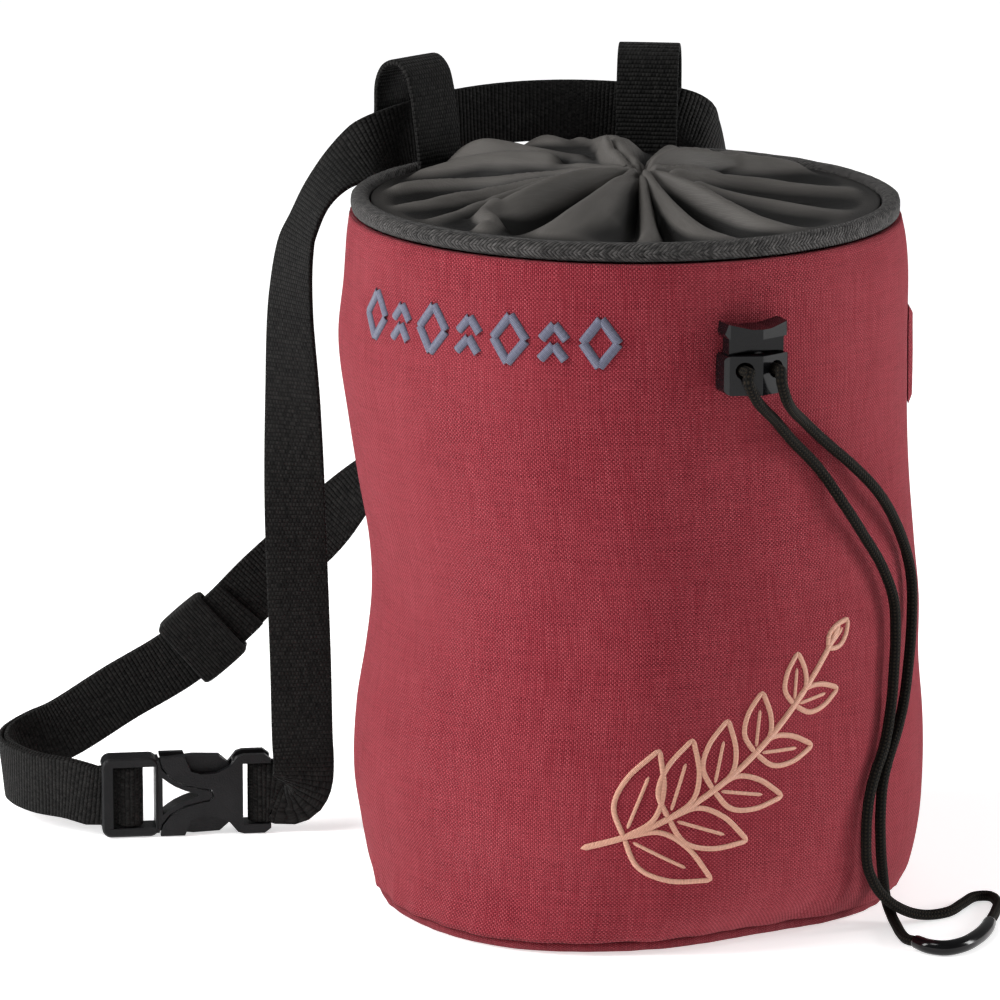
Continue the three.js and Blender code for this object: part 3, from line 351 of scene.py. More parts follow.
redCloth = {
    "warpDark": (0.280, 0.023, 0.037, 1), "warpLight": (0.480, 0.082, 0.102, 1),
    "weftDark": (0.160, 0.008, 0.016, 1), "weftLight": (0.270, 0.024, 0.037, 1),
    "yarn": 0.00050, "relief": 0.00027,
}


def clothMaterial(name, look, darker=1.0):
    material, tree, shader = newMaterial(name)
    woven = useGroup(tree, weave, Place=layPlace(tree), Yarn=look["yarn"], Streak=95.0)
    light = darkened(look["warpLight"], darker)
    warp = mixColour(tree, spread(tree, woven["Warp Shade"], 0.22, 0.82),
                     darkened(look["warpDark"], darker), light)
    weft = mixColour(tree, spread(tree, woven["Weft Shade"], 0.32, 0.7),
                     darkened(look["weftDark"], darker), darkened(look["weftLight"], darker))
    cloth = mixColour(tree, woven["Over"], weft, warp)
    # darker in the low gaps between the yarns: painted shade
    cloth = mixColour(tree, spread(tree, woven["Relief"], 0.0, 0.55, 0.55, 0.0), cloth,
                      darkened(look["weftDark"], 0.3))
    worn = useGroup(tree, handled, Clean=cloth, Dusty=light, Size=26.0, Amount=0.16)
    link(tree, worn["Colour"], shader.inputs["Base Color"])
    setLook(shader, Roughness=0.92, Specular_IOR_Level=0.12, Sheen_Weight=0.13, Sheen_Roughness=0.35,
            Sheen_Tint=(1.0, 0.6, 0.62, 1))
    bumpOf(tree, shader, woven["Relief"], look["relief"])
    return material


def bandMaterial(name, dark, light, rib, floats, relief, slant=0.0, rough=0.85, sheen=0.03):
    material, tree, shader = newMaterial(name)
    ribbed = useGroup(tree, ribWeave, Place=layPlace(tree), Rib=rib, Float=floats, Slant=slant)
    yarns = mixColour(tree, spread(tree, ribbed["Shade"], 0.35, 0.7), dark, light)
    shade = mixColour(tree, spread(tree, ribbed["Relief"], 0.05, 0.7), darkened(dark, 0.35), yarns)
    worn = useGroup(tree, handled, Clean=shade, Dusty=light, Size=40.0, Amount=0.2)
    link(tree, worn["Colour"], shader.inputs["Base Color"])
    setLook(shader, Roughness=rough, Specular_IOR_Level=0.12, Sheen_Weight=sheen, Sheen_Roughness=0.4)
    bumpOf(tree, shader, ribbed["Relief"], relief)
    return material


def mouldMaterial(name, dark, light, gloss, dull, grain, relief, coat=0.0):
    material, tree, shader = newMaterial(name)
    skin = useGroup(tree, moulded, Grain=grain, Gloss=gloss, Dull=dull)
    link(tree, mixColour(tree, skin["Scuffs"], dark, light), shader.inputs["Base Color"])
    link(tree, skin["Roughness"], shader.inputs["Roughness"])
    setLook(shader, Specular_IOR_Level=0.18, Coat_Weight=coat, Coat_Roughness=0.08)
    bumpOf(tree, shader, skin["Relief"], relief)
    return material


def closureMaterial():
    material, tree, shader = newMaterial("closure_cloth")
    woven = useGroup(tree, weave, Place=layPlace(tree), Yarn=0.00034, Streak=140.0)
    warp = mixColour(tree, spread(tree, woven["Warp Shade"], 0.2, 0.85),
                     (0.0800, 0.0745, 0.0690, 1), (0.1150, 0.1075, 0.1000, 1))
    # darker in the low gaps between the yarns: painted shade
    cloth = mixColour(tree, spread(tree, woven["Relief"], 0.0, 0.6), (0.058, 0.054, 0.050, 1), warp)
    worn = useGroup(tree, handled, Clean=cloth, Dusty=(0.15, 0.14, 0.13, 1), Size=45.0, Amount=0.25)
    # the hollows between the closure's folds, where crest is low, turn near black: painted shade in the
    # hollows
    crest = tree.nodes.new("ShaderNodeAttribute")
    crest.attribute_name = "crest"
    pocketShade = (0.007, 0.0066, 0.0062, 1)
    foldShaded = mixColour(tree, spread(tree, crest.outputs["Fac"], 0.4, 0.95), pocketShade, worn["Colour"])
    link(tree, foldShaded, shader.inputs["Base Color"])
    setLook(shader, Roughness=0.48, Specular_IOR_Level=0.2)
    bumpOf(tree, shader, woven["Relief"], 0.00005)
    return material


def braidMaterial():
    material, tree, shader = newMaterial("cord_braid")
    plait, strands, turn = 0.0019, 4.0, 2 * math.pi
    u, v = parted(tree, layPlace(tree))
    along, around = ratio(tree, u, plait), times(tree, v, strands)
    left = sineOf(tree, plus(tree, along, around), turn)
    right = sineOf(tree, minus(tree, along, around), turn)
    product = times(tree, left, right)
    # brownish flecks on the raised crossings of the braid: painted highlights
    braidHighlight = maths(tree, "GREATER_THAN", product, 0.35)
    fibres = noiseOf(tree, combine(tree, times(tree, along, 2.5), around), 3.0, 3.0)
    yarn = mixColour(tree, spread(tree, fibres, 0.35, 0.7),
                     (0.0020, 0.0018, 0.0016, 1), (0.0070, 0.0062, 0.0050, 1))
    fleck = mixColour(tree, times(tree, braidHighlight, 0.5), yarn, (0.036, 0.028, 0.018, 1))
    link(tree, fleck, shader.inputs["Base Color"])
    setLook(shader, Roughness=0.75, Specular_IOR_Level=0.1)
    bumpOf(tree, shader, ridge(tree, product, 0.5), 0.00022)
    return material


# embroidery yarn: fine parallel strands, across u
def threadMaterial(name, dark, light):
    material, tree, shader = newMaterial(name)
    ply = 0.00034
    u, v = parted(tree, layPlace(tree))
    wave = sineOf(tree, u, math.pi / ply)
    strand = noiseOf(tree, combine(tree, times(tree, u, 2900.0), times(tree, v, 260.0)))
    # darker where neighbouring strands meet: painted shade between strands
    share = times(tree, spread(tree, maths(tree, "ABSOLUTE", wave), 0.0, 0.8),
                  spread(tree, strand, 0.2, 0.75, 0.35, 1.0))
    link(tree, mixColour(tree, share, dark, light), shader.inputs["Base Color"])
    setLook(shader, Roughness=0.42, Sheen_Weight=0.1)
    bumpOf(tree, shader, ridge(tree, wave), 0.00012)
    return material


materials = {
    "wall": clothMaterial("red_melange", redCloth),
    "base": clothMaterial("red_melange_base", redCloth, 0.9),
    "tape": bandMaterial("binding_tape", (0.017, 0.016, 0.0155, 1), (0.095, 0.090, 0.087, 1),
                         0.00105, 0.0011, 0.00040, slant=1.0, rough=0.7, sheen=0.06),
    "closure": closureMaterial(),
    "webbing": bandMaterial("belt_webbing", (0.0034, 0.0033, 0.0032, 1), (0.0165, 0.0158, 0.0150, 1),
                            0.00108, 0.00092, 0.00045),
    "elastic": bandMaterial("keeper_elastic", (0.0040, 0.0039, 0.0038, 1), (0.0180, 0.0172, 0.0164, 1),
                            0.0009, 0.00062, 0.00030),
    "buckle": mouldMaterial("buckle_resin", (0.0070, 0.0073, 0.0080, 1), (0.0150, 0.0155, 0.0165, 1),
                            0.36, 0.5, 2600.0, 0.00016),
    "lock": mouldMaterial("lock_resin", (0.0030, 0.0030, 0.0036, 1), (0.0070, 0.0070, 0.0080, 1),
                          0.14, 0.26, 1500.0, 0.000008, coat=0.12),
    "braid": braidMaterial(),
    "slate": threadMaterial("slate_thread", (0.040, 0.042, 0.068, 1), (0.165, 0.172, 0.255, 1)),
    "peach": threadMaterial("peach_thread", (0.34, 0.135, 0.085, 1), (0.82, 0.44, 0.31, 1)),
}
print("materials made,", len(materials))


# mesh tools

def finishPiece(obj, body, slotName, *nodes):
    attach(obj, body)
    if nodes:
        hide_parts(*nodes)
    return obj


def thicken(obj, name, thick):
    solid = obj.modifiers.new(name, "SOLIDIFY")
    solid.thickness, solid.offset = thick, -1


def meshObject(name, points, faces, places, material, smooth=True):
    mesh = bpy.data.meshes.new(name)
    mesh.from_pydata([tuple(p) for p in points], [], faces)
    layer = mesh.uv_layers.new(name="lay")
    layer.data.foreach_set("uv", [value for place in places for value in place])
    mesh.polygons.foreach_set("use_smooth", [smooth] * len(mesh.polygons))
    mesh.materials.append(material)
    mesh.update()
    obj = bpy.data.objects.new(name, mesh)
    bpy.context.collection.objects.link(obj)
    return obj


# a grid of points, closed along its rows and round its columns where asked, with caps at open ends
def gridFaces(rows, columns, placeAt, roundRows=False, roundColumns=False, capped=False, start=0):
    faces, places = [], []
    for i in range(rows if roundRows else rows - 1):
        for j in range(columns if roundColumns else columns - 1):
            corners = ((i, j), (i + 1, j), (i + 1, j + 1), (i, j + 1))
            faces.append([start + (a % rows) * columns + b % columns for a, b in corners])
            places += [placeAt(a, b) for a, b in corners]
    if capped:
        for i in (0, rows - 1):
            ring = range(columns) if i else range(columns - 1, -1, -1)
            faces.append([start + i * columns + j for j in ring])
            places += [placeAt(i, j) for j in ring]
    return faces, places


def turnOut(obj):
    work = bmesh.new()
    work.from_mesh(obj.data)
    bmesh.ops.recalc_face_normals(work, faces=work.faces)
    work.to_mesh(obj.data)
    work.free()


# point on a smooth curve through points, at a place from 0 to 1
def curveAt(points, place, even=False):
    spans = len(points) - 1
    at = min(max(place, 0), 1) * spans
    i = min(int(at), spans - 1)
    s = at - i
    p1, p2 = points[i], points[i + 1]
    p0 = points[i - 1] if i else p1 * 2 - p2
    p3 = points[i + 2] if i + 2 <= spans else p2 * 2 - p1
    if even:
        leave, arrive = (p2 - p0) / 2, (p3 - p1) / 2
    else:
        chords = ((p0, p1), (p1, p2), (p2, p3))
        first, middle, last = [math.sqrt((b - a).length) or 1e-3 for a, b in chords]
        leave = ((p1 - p0) / first - (p2 - p0) / (first + middle) + (p2 - p1) / middle) * middle
        arrive = ((p2 - p1) / middle - (p3 - p1) / (middle + last) + (p3 - p2) / last) * middle
    c2 = (p2 - p1) * 3 - leave * 2 - arrive
    c3 = (p1 - p2) * 2 + leave + arrive
    return p1 + leave * s + c2 * s * s + c3 * s ** 3


# even steps along a smooth curve: the share of the way for each, and the curve's length
def evenPlaces(points, step):
    perSpan = 24
    fine = (len(points) - 1) * perSpan
    samples = [curveAt(points, i / fine) for i in range(fine + 1)]
    run = [0.0]
    for a, b in zip(samples, samples[1:]):
        run.append(run[-1] + (b - a).length)
    count = max(2, round(run[-1] / step))
    marks = np.interp(np.linspace(0, run[-1], count + 1), run, np.linspace(0, 1, fine + 1))
    return list(marks), run[-1]


# cords, first of all the pieces

cord = {"diameter": 0.0027, "sides": 14, "step": 0.0011}
clip = {"radius": 0.00195, "ends": 0.86, "swell": 0.14, "sides": 20, "step": 0.0006}
lock = {
    "angle": 3.2, "turn": -90 + 3.2 + 20, "depth": 0.009, "low": 0.143, "spacing": 0.0082, "hole": 0.006,
    "tall": 0.0096, "clear": 0.0006,
}

# bag shape, as the solids have it: heights as shares of the wall, radii as shares of the
# straight line from base to rim, leans as shares of the rim radius

bag = {
    "height": 0.1786, "rimRadius": 0.0687, "baseRadius": 0.065, "wall": 0.0024, "panel": 0.002,
    "roll": 0.0029, "binding": 0.0046, "seat": 0.0003, "hemGap": 0.0005,
}
rimRadius = bag["rimRadius"]
wallSections = [
    (0, 1.023, 0.007), (0.034, 1.069, 0.023), (0.08, 1.093, 0.026), (0.157, 1.104, 0.02),
    (0.256, 1.089, 0.028), (0.344, 1.059, 0.038), (0.426, 1.045, 0.044), (0.508, 1.036, 0.026),
    (0.602, 1.04, -0.003), (0.707, 1.043, -0.026), (0.818, 1.047, -0.045), (0.906, 1.031, -0.039),
    (0.965, 1.019, -0.041), (1, 1.004, -0.044),
]
# turn in degrees, height, spread in degrees, tall, depth inwards
wallDents = [
    (-66, 0.42, 20, 0.24, 0.013), (-112, 0.3, 22, 0.2, -0.01), (-150, 0.47, 24, 0.11, 0.012),
    (-95, 0.05, 9, 0.05, 0.014), (62, 0.55, 32, 0.3, 0.014), (128, 0.35, 26, 0.2, 0.012),
]
# turn, reach as a share of the base radius, lift as a share of the roll
baseEdge = [
    (0, 1.005, 0), (45, 1.01, 0), (90, 1, 0), (135, 1.01, 0), (180, 1, 0), (210, 1.045, 0),
    (240, 1.075, 0.02), (270, 1.01, 0.22), (300, 0.965, 0.55), (330, 1.02, 0.2), (345, 1.03, 0.05),
    (360, 1.005, 0),
]
wallTop = bag["height"] - bag["binding"] - bag["seat"]
rimLean = rimRadius * wallSections[-1][2]
wallFade = 0.09
wave = {"slow": 0.0009, "fold": 0.0005, "pucker": 0.0012, "small": 0.0003}


def baseReach(turn):
    return bag["baseRadius"] * between(baseEdge, turn % 360, 1)


def baseLift(turn):
    return bag["roll"] * between(baseEdge, turn % 360, 2)


def wallLow(turn):
    return baseLift(turn) + bag["roll"] + bag["seat"]


def apartBy(turn, middle):
    return (turn - middle + 180) % 360 - 180


def wallPoint(turn, height, offset):
    section = between(wallSections, height, 1)
    lean = rimRadius * between(wallSections, height, 2)
    base, rim = bag["baseRadius"], rimRadius
    radius = (base + (rim - base) * height) * section
    follow = max(0, 1 - height / wallFade) ** 2
    radius *= 1 + (baseReach(turn) / base - 1) * follow
    for middle, high, wide, tall, depth in wallDents:
        far = (apartBy(turn, middle) / wide) ** 2 + ((height - high) / tall) ** 2
        radius -= rimRadius * depth * math.exp(-far)
    low, reach = wallLow(turn), radius + offset
    c, s = cosSin(turn)
    return laid(lean + reach * c, reach * s, low + (wallTop - low) * height)


def wallShare(turn, up):
    low = wallLow(turn)
    return (up - low) / (wallTop - low)


# small waves and puckers that the cloth adds to the solid's shape
def clothWave(turn, height):
    c, s = cosSin(turn)
    slow = noise.noise(Vector((c, s, height * 2.4)) * 1.7 + Vector((3.1, 0.4, 7.7)))
    fold = noise.noise(Vector((c * 4.2, s * 4.2, height * 1.3)))
    pucker = noise.noise(Vector((c * 9, s * 9, 2.0)))
    small = noise.noise(Vector((c * 26, s * 26, height * 9)))
    low, top = math.exp(-height / 0.035), math.exp(-(1 - height) / 0.03)
    still = min(1, (1 - height) / 0.08)
    return ((wave["slow"] * slow + wave["fold"] * fold) * still + wave["pucker"] * pucker * low
            + wave["small"] * small * (low + 0.4 * top))


def skinPoint(turn, height, offset=0.0):
    return wallPoint(turn, height, offset + clothWave(turn, height))


# cords: four points through the lock, then the route over the wall to the floor

lockShare = wallShare(lock["turn"], lock["low"] + lock["tall"] / 2)
lockOrigin = wallPoint(lock["turn"], lockShare, lock["clear"] + lock["depth"])
lockOrigin.z = lock["low"]
lockTurned = Matrix.Translation(lockOrigin) @ Matrix.Rotation(math.radians(lock["angle"]), 4, "Z")


def lockPoint(x, y, z):
    return lockTurned @ Vector((x, y, z))


cordRoutes = {
    "cord_a": [
        (24.9, -78.9, 147.6), (25.8, -78.2, 145.2), (27.4, -76.5, 142), (29.6, -72.4, 138.8),
        (32.2, -66.8, 135.2), (36.2, -62, 129.6), (43.2, -56.2, 121.2), (50.2, -52.2, 110.6),
        (55.2, -47, 102), (60, -41.6, 93.2), (63.3, -38.6, 84), (64, -38.6, 75.5), (63.8, -39.2, 66.8),
        (63.1, -41, 57.2), (61.3, -44.8, 47.6), (59, -48, 41.6), (57.3, -50.2, 34.4), (56.9, -50.6, 25.8),
        (57.6, -49, 17.6), (60.2, -46.6, 11.4), (62.8, -44.2, 7.9), (65.6, -41.8, 5.2), (69.8, -38.8, 2.6),
        (74, -36.6, 1.5), (79, -33.6, 1.4), (83.2, -26.4, 1.4), (86.8, -20.6, 1.4), (90.4, -20.2, 1.4),
        (92, -25.6, 1.4), (90.7, -34.3, 1.5), (89.1, -41.4, 1.8), (88.6, -44.1, 2),
    ],
    "cord_b": [
        (32.9, -75.6, 147.5), (33.5, -75, 145), (34.4, -73.8, 142), (36, -69.4, 138.6),
        (38.8, -62.6, 134.6), (44.4, -55.9, 128), (51.8, -49.4, 120.4), (58.2, -43.6, 112.8),
        (63.4, -35.6, 103.2),
        (67.4, -28.9, 91.8), (68.6, -28.1, 84.2), (68.4, -30.8, 73), (67.9, -32.1, 66.6),
        (66.6, -35.5, 56.8), (64.6, -39.8, 49.6), (62.6, -43, 44.2), (61.1, -45.6, 38.4),
        (60.6, -46.6, 30.4), (61, -45.2, 20.8), (61.8, -42, 13.6), (62.6, -38.8, 8),
        (63.4, -37, 4.4), (64.4, -38.8, 2), (65.2, -45, 1.45), (66, -52, 1.4), (67.2, -57.6, 1.7),
        (68.9, -59.9, 2),
    ],
    "cord_end": [
        (69.1, -60.2, 2), (72, -63.9, 2), (76, -65.2, 2), (80.3, -62.6, 2), (84.4, -56.4, 2),
        (87.2, -49.6, 2), (88.5, -44.4, 2),
    ],
}


# round tube along a route: radiusAt gives its radius at a share of the way
def tube(name, route, radiusAt, sides, step, material):
    places, length = evenPlaces(route, step)
    centres = [curveAt(route, place) for place in places]
    points = []
    side = (centres[1] - centres[0]).cross(upAxis)
    for i, centre in enumerate(centres):
        along = (centres[min(i + 1, len(centres) - 1)] - centres[max(i - 1, 0)]).normalized()
        side = (side - along * side.dot(along)).normalized()
        rise = along.cross(side)
        radius = radiusAt(i / (len(centres) - 1))
        for k in range(sides):
            c, s = cosSin(360 * k / sides)
            points.append(centre + side * radius * c + rise * radius * s)
    run = length / (len(centres) - 1)
    faces, uvs = gridFaces(len(centres), sides, lambda i, j: (i * run, j / sides),
                           roundColumns=True, capped=True)
    obj = meshObject(name, points, faces, uvs, material)
    turnOut(obj)
    return obj, centres, length


def clipRadius(share):
    return clip["radius"] * (clip["ends"] + clip["swell"] * math.sin(math.pi * share) ** 0.5)


def cordRadius(share):
    return cord["diameter"] / 2


cordEnd = tube("cord_end_clip", [laidMm(*p) for p in cordRoutes["cord_end"]], clipRadius,
               clip["sides"], clip["step"], materials["lock"])[0]
finishPiece(cordEnd, "bag", "lock_resin", "cord_end")
for name, side in (("cord_a", -1), ("cord_b", 1)):
    depths = [lock["depth"] - bag["seat"], lock["depth"] * 0.4, 0.0007, -0.0012]
    route = [lockPoint(side * lock["spacing"] / 2, depth, lock["hole"]) for depth in depths]
    route += [laidMm(*p) for p in cordRoutes[name]]
    strand, path, length = tube(name + "_braid", route, cordRadius, cord["sides"], cord["step"],
                                materials["braid"])
    finishPiece(strand, "bag", "cord", name)
    tuple(route[2])
    [tuple(p) for p in path]
    print(name, "length in mm", round(length * 1000, 1))


# wall: a dense open tube, with the lining inside

wallMesh = {"turns": 360, "rows": 120, "inside": 10, "span": 2 * math.pi * 0.068}


def wallPiece():
    turns, rows, inside, span = wallMesh.values()
    section = [(k / rows, 0.0) for k in range(rows + 1)]
    section += [(1 - k / inside, -bag["wall"]) for k in range(inside + 1)]
    points = [skinPoint(360 * i / turns, height, offset)
              for i in range(turns) for height, offset in section]
    heights = [h * (wallTop if o == 0 else -wallTop) for h, o in section]
    faces, uvs = gridFaces(turns, len(section), lambda i, j: (i / turns * span, heights[j % len(heights)]),
                           roundRows=True, roundColumns=True)
    obj = meshObject("wall_cloth", points, faces, uvs, materials["wall"])
    turnOut(obj)
    return finishPiece(obj, "bag", "red_fabric", "wall")


wallCloth = wallPiece()
print("wall made")


# base panel with its rolled seam edge

# inset as a share of the reach, height as a share of the roll
rollCorners = [
    (0.1, 0), (0.05, 0), (0.022, 0.02), (0.006, 0.16), (0, 0.4), (-0.004, 0.7), (0.0, 0.95), (0.02, 1.0),
    (0.06, 1), (0.075, 0.88), (0.085, 0.69),
]
baseMesh = {"turns": 300, "rollStep": 0.0016, "ripple": 0.006, "ripples": 14}


def basePiece():
    turns, corners = baseMesh["turns"], len(rollCorners)
    points = []
    for i in range(turns):
        turn = 360 * i / turns
        lift = baseLift(turn)
        c, s = cosSin(turn)
        ripple = 1 + baseMesh["ripple"] * noise.noise(Vector((c, s, 0)) * baseMesh["ripples"])
        for k, (inset, up) in enumerate(rollCorners):
            reach = baseReach(turn) * (1 - inset) * ripple
            flat = k == 0 or k == corners - 1
            level = bag["roll"] * up + (0 if flat else lift)
            points.append(laid(reach * c, reach * s, level))
    span = 2 * math.pi * bag["baseRadius"]
    faces, uvs = gridFaces(turns, corners, lambda i, j: (i / turns * span, j * baseMesh["rollStep"]),
                           roundRows=True)
    for centre, column in ((Vector((0, 0, 0)), 0), (Vector((0, 0, bag["panel"])), corners - 1)):
        points.append(centre)
        for i in range(turns):
            face = [len(points) - 1, (i + 1) % turns * corners + column, i * corners + column]
            faces.append(face)
            uvs += [tuple(points[p].xy) for p in face]
    obj = meshObject("base_cloth", points, faces, uvs, materials["base"])
    turnOut(obj)
    return finishPiece(obj, "bag", "red_fabric", "base_panel")


basePiece()


# rim binding: a soft tape folded over the rim

bindingMesh = {"turns": 400, "corners": 20, "girth": 1.08}


def rimPoint(turn, radius, up):
    c, s = cosSin(turn)
    return laid(rimLean + radius * c, radius * s, up)


def bindingPiece():
    turns, corners, half = bindingMesh["turns"], bindingMesh["corners"], bag["binding"] / 2
    points = []
    for i in range(turns):
        turn = 360 * i / turns
        spot = Vector((*cosSin(turn), 0))
        uneven = 0.00018 * noise.noise(spot * 6) + 0.00008 * noise.noise(spot * 31)
        for k in range(corners):
            c, s = cosSin(360 * k / corners)
            squarish = (abs(c) ** 3 + abs(s) ** 3) ** (-1 / 3)
            out = half * (c * squarish - 1) + uneven
            up = half * (s * squarish - 1) + uneven * 0.6
            points.append(rimPoint(turn, rimRadius + out, bag["height"] + up))
    span = 2 * math.pi * rimRadius
    girth = 2 * math.pi * half * bindingMesh["girth"]
    faces, uvs = gridFaces(turns, corners, lambda i, j: (i / turns * span, abs(j / corners - 0.5) * girth),
                           roundRows=True, roundColumns=True)
    obj = meshObject("binding_tape", points, faces, uvs, materials["tape"])
    turnOut(obj)
    return finishPiece(obj, "bag", "tape", "rim_binding")


bindingPiece()
print("base and binding made")


# gathered closure: folds follow lines from the rim to the cinch, and grooves lie between them.
# Each has a line of points, across, back and rise in mm from the middle of the hem, and then its
# spread on the left and right of the line. The last number makes a fold's top flatter.

closure = {
    "radius": rimRadius - bag["binding"] - bag["hemGap"], "hem": bag["height"] - bag["binding"] / 2,
    "cinch": 0.0016, "thick": 0.0009, "drift": 0.065 * rimRadius, "level": 3.4, "valley": 4.4,
    "turns": 440, "rings": 92, "pleats": 17, "pleatRise": 0.55, "crest": 2.4, "broad": 180,
    "crease": 0.0005, "flat": 1.6,
}
closureFolds = [
    ([(-5, 58, 1), (-5, 46, 7), (-4.6, 32, 12), (-4, 21, 14.4), (-2.6, 11, 12.8), (1.6, 3.6, 6.5)],
     (18, 9), 2.5),
    ([(18, 56, 1), (15, 41, 8), (12, 27, 12), (9, 14, 10.5), (6, 5, 6)], (7, 5)),
    ([(-5.2, 12, 14), (-3.8, 7, 12), (-1.2, 3.6, 8.5), (1.5, 1.2, 6)], (3.5, 1.6)),
    ([(-45, 42, 2.5), (-36, 37, 10.4), (-24, 30, 11.4), (-13, 18, 10.2), (-6, 8, 7.5)], (9, 7)),
    ([(-27, 55, 2), (-20, 46, 10), (-14, 34, 10.6), (-9, 18, 8.5)], (10, 8)),
    ([(-13, 56, 2), (-11, 45, 9.6), (-9, 32, 10), (-6, 18, 8.5)], (5, 6)),
    ([(36, 48, 1), (29, 38, 8), (21, 26, 10), (12, 14, 9)], (7, 6)),
    ([(-57, 26, 0.5), (-41, 25, 8.2), (-34, 24, 10.6), (-27, 20.5, 12), (-19.5, 16.5, 11.8),
      (-14, 12, 9.6), (-9, 7.5, 8), (-1, 3.2, 5.5)], (4.5, 8)),
    ([(-62, 5, 0.5), (-53, 12, 3.6), (-41, 13.5, 5.8), (-30.7, 11, 7.2), (-19.5, 9, 7.8), (-10, 5.4, 7),
      (0, 2, 5)], (3.2, 3)),
    ([(-59, -17, 0.5), (-50, -10, 3.4), (-43.6, -4.4, 4.8), (-32.5, 1.5, 6.2), (-22, 3.5, 7.3),
      (-10, 2.6, 6.5), (1, 1, 5)], (3.2, 3.2)),
    ([(-50, -36, 0.5), (-43, -26, 3.4), (-36, -15, 5.4), (-27, -6.5, 7), (-17.8, -2.5, 7.8),
      (-8, -0.4, 6.5), (2, 0, 5)], (3.4, 3.6)),
    ([(-35, -25, 5.5), (-28, -21.5, 9), (-19.7, -14, 10.4), (-12.3, -8, 9.8), (-5, -4.2, 7.8),
      (2, -0.8, 5)], (2.6, 5.5)),
    ([(-36, -50, 0.8), (-35, -43, 4), (-33, -37, 5.6), (-35.5, -30, 6), (-33, -24, 7.5)], (2, 3.4)),
    ([(-22, -59, 0.8), (-18, -50, 5), (-12.5, -38, 8.8), (-7.5, -25, 9.4), (-2.6, -12, 7.6), (2, -2.5, 5)],
     (6.5, 8.5)),
    ([(2.5, -60, 0.6), (4.6, -46, 3.4), (5, -30, 4.8), (4.6, -14, 5), (4.2, -3, 5)], (1.9, 2.3)),
    ([(25, -56, 0.6), (20, -46, 3.2), (15, -34, 5.4), (10.4, -20, 6), (6.4, -7, 5.4), (4.5, -2, 5)],
     (3.6, 3)),
    ([(42, -44, 0.6), (33, -33, 4.2), (25.5, -22, 6.8), (17.5, -12, 7.8), (10, -5, 6.5), (5, -1.2, 5)],
     (2.6, 5.5)),
    ([(30, 16, 4.5), (24, 11.5, 7.6), (18.5, 6.6, 8.8), (13.5, 2.8, 8), (9, 1.6, 6.3), (5.5, 0.7, 5)],
     (2.2, 2.6)),
    ([(47, 41, 1), (37, 31, 8), (27, 22, 11.6), (18, 15, 12.6), (12.5, 9.4, 11.4), (8.5, 4.8, 8.5),
      (5.5, 1.5, 5)], (7, 3)),
    ([(62, 6, 0.5), (49, 9, 4), (38, 10, 6.4), (28, 7.5, 7.4), (20, 3.5, 7.2), (12, -0.4, 6.3)], (9, 8)),
    ([(57, -24, 0.5), (44, -17, 4), (31, -10, 6), (18, -5, 6.4)], (8, 8)),
]
closureGrooves = [
    ([(-3.8, 13.5, 2.4), (-2.2, 8.5, 5), (0.8, 4, 3)], 1.3),
    ([(-32, -40, 1.5), (-22, -29, 3.2), (-11, -14, 3.4), (0, -3.5, 2)], 2.6),
    ([(-1.5, -58, 1), (0.4, -42, 2.4), (1.8, -25, 2.8), (3.2, -8, 2)], 2),
    ([(11, -56, 1), (10.5, -40, 2), (8, -25, 2)], 2.4),
    ([(30, -37, 0.8), (21, -23, 2.6), (13.5, -12, 2.4), (8, -5, 1.6)], 2),
    ([(14, 7, 2.4), (20, 13, 2.6), (28, 21, 1.4)], 1.8),
    ([(-16, 14, 2), (-9, 10, 3), (-4, 6, 2)], 2),
]


# value carried by a fold's line at its nearest spot, and the distance to it, left being positive
def nearLine(line, x, y):
    corners = [Vector(p) for p in line]
    samples = np.array([curveAt(corners, i / 28) for i in range(29)])
    best = np.full(x.shape, 1e9)
    value, side = np.zeros(x.shape), np.zeros(x.shape)
    for (ax, ay, az), (bx, by, bz) in zip(samples, samples[1:]):
        dx, dy = bx - ax, by - ay
        t = np.clip(((x - ax) * dx + (y - ay) * dy) / (dx * dx + dy * dy), 0, 1)
        away = np.hypot(x - ax - t * dx, y - ay - t * dy)
        nearer = away < best
        best = np.where(nearer, away, best)
        value = np.where(nearer, az + (bz - az) * t, value)
        side = np.where(nearer, np.sign(dx * (y - ay) - dy * (x - ax)), side)
    return value, best * side


def closureRise(x, y, run, angle):
    reach = np.hypot(x - closure["drift"] * 1000, y)
    narrow = np.clip((reach + 4) / 38, 0.15, 1.08)
    total = np.zeros(x.shape)
    for line, wide, *flat in closureFolds:
        height, off = nearLine(line, x, y)
        width = np.where(off > 0, *wide) * narrow
        power = flat[0] if flat else closure["flat"]
        total += np.maximum(height, 0) ** 4 * np.exp(-4 * np.abs(off / width) ** power)
    up = total ** 0.25
    for line, wide in closureGrooves:
        depth, off = nearLine(line, x, y)
        up -= np.maximum(depth, 0) * np.exp(-np.abs(off / (wide * narrow)) ** 2)
    near = np.exp(-((reach - 5) / 6) ** 2)
    up += closure["pleatRise"] * near * np.sin(closure["pleats"] * angle + 2 * np.sin(2 * angle))
    inside = np.clip(reach / 3.5, 0, 1)
    level = closure["level"] * (1 - run) ** 2 - closure["valley"] * np.sin(np.pi * run)
    hem = np.clip((1 - run) / 0.07, 0, 1)
    hem = hem * hem * (3 - 2 * hem)
    return (level + np.maximum(up, -1.2) * (0.35 + 0.65 * inside)) * hem


# each height averaged with those round it
def smoothed(rise, passes):
    for _ in range(passes):
        rise[:, 1:-1] = (rise[:, 1:-1] * 2 + rise[:, 2:] + rise[:, :-2]) / 4
        rise = (rise * 2 + np.roll(rise, 1, 0) + np.roll(rise, -1, 0)) / 4
    return rise


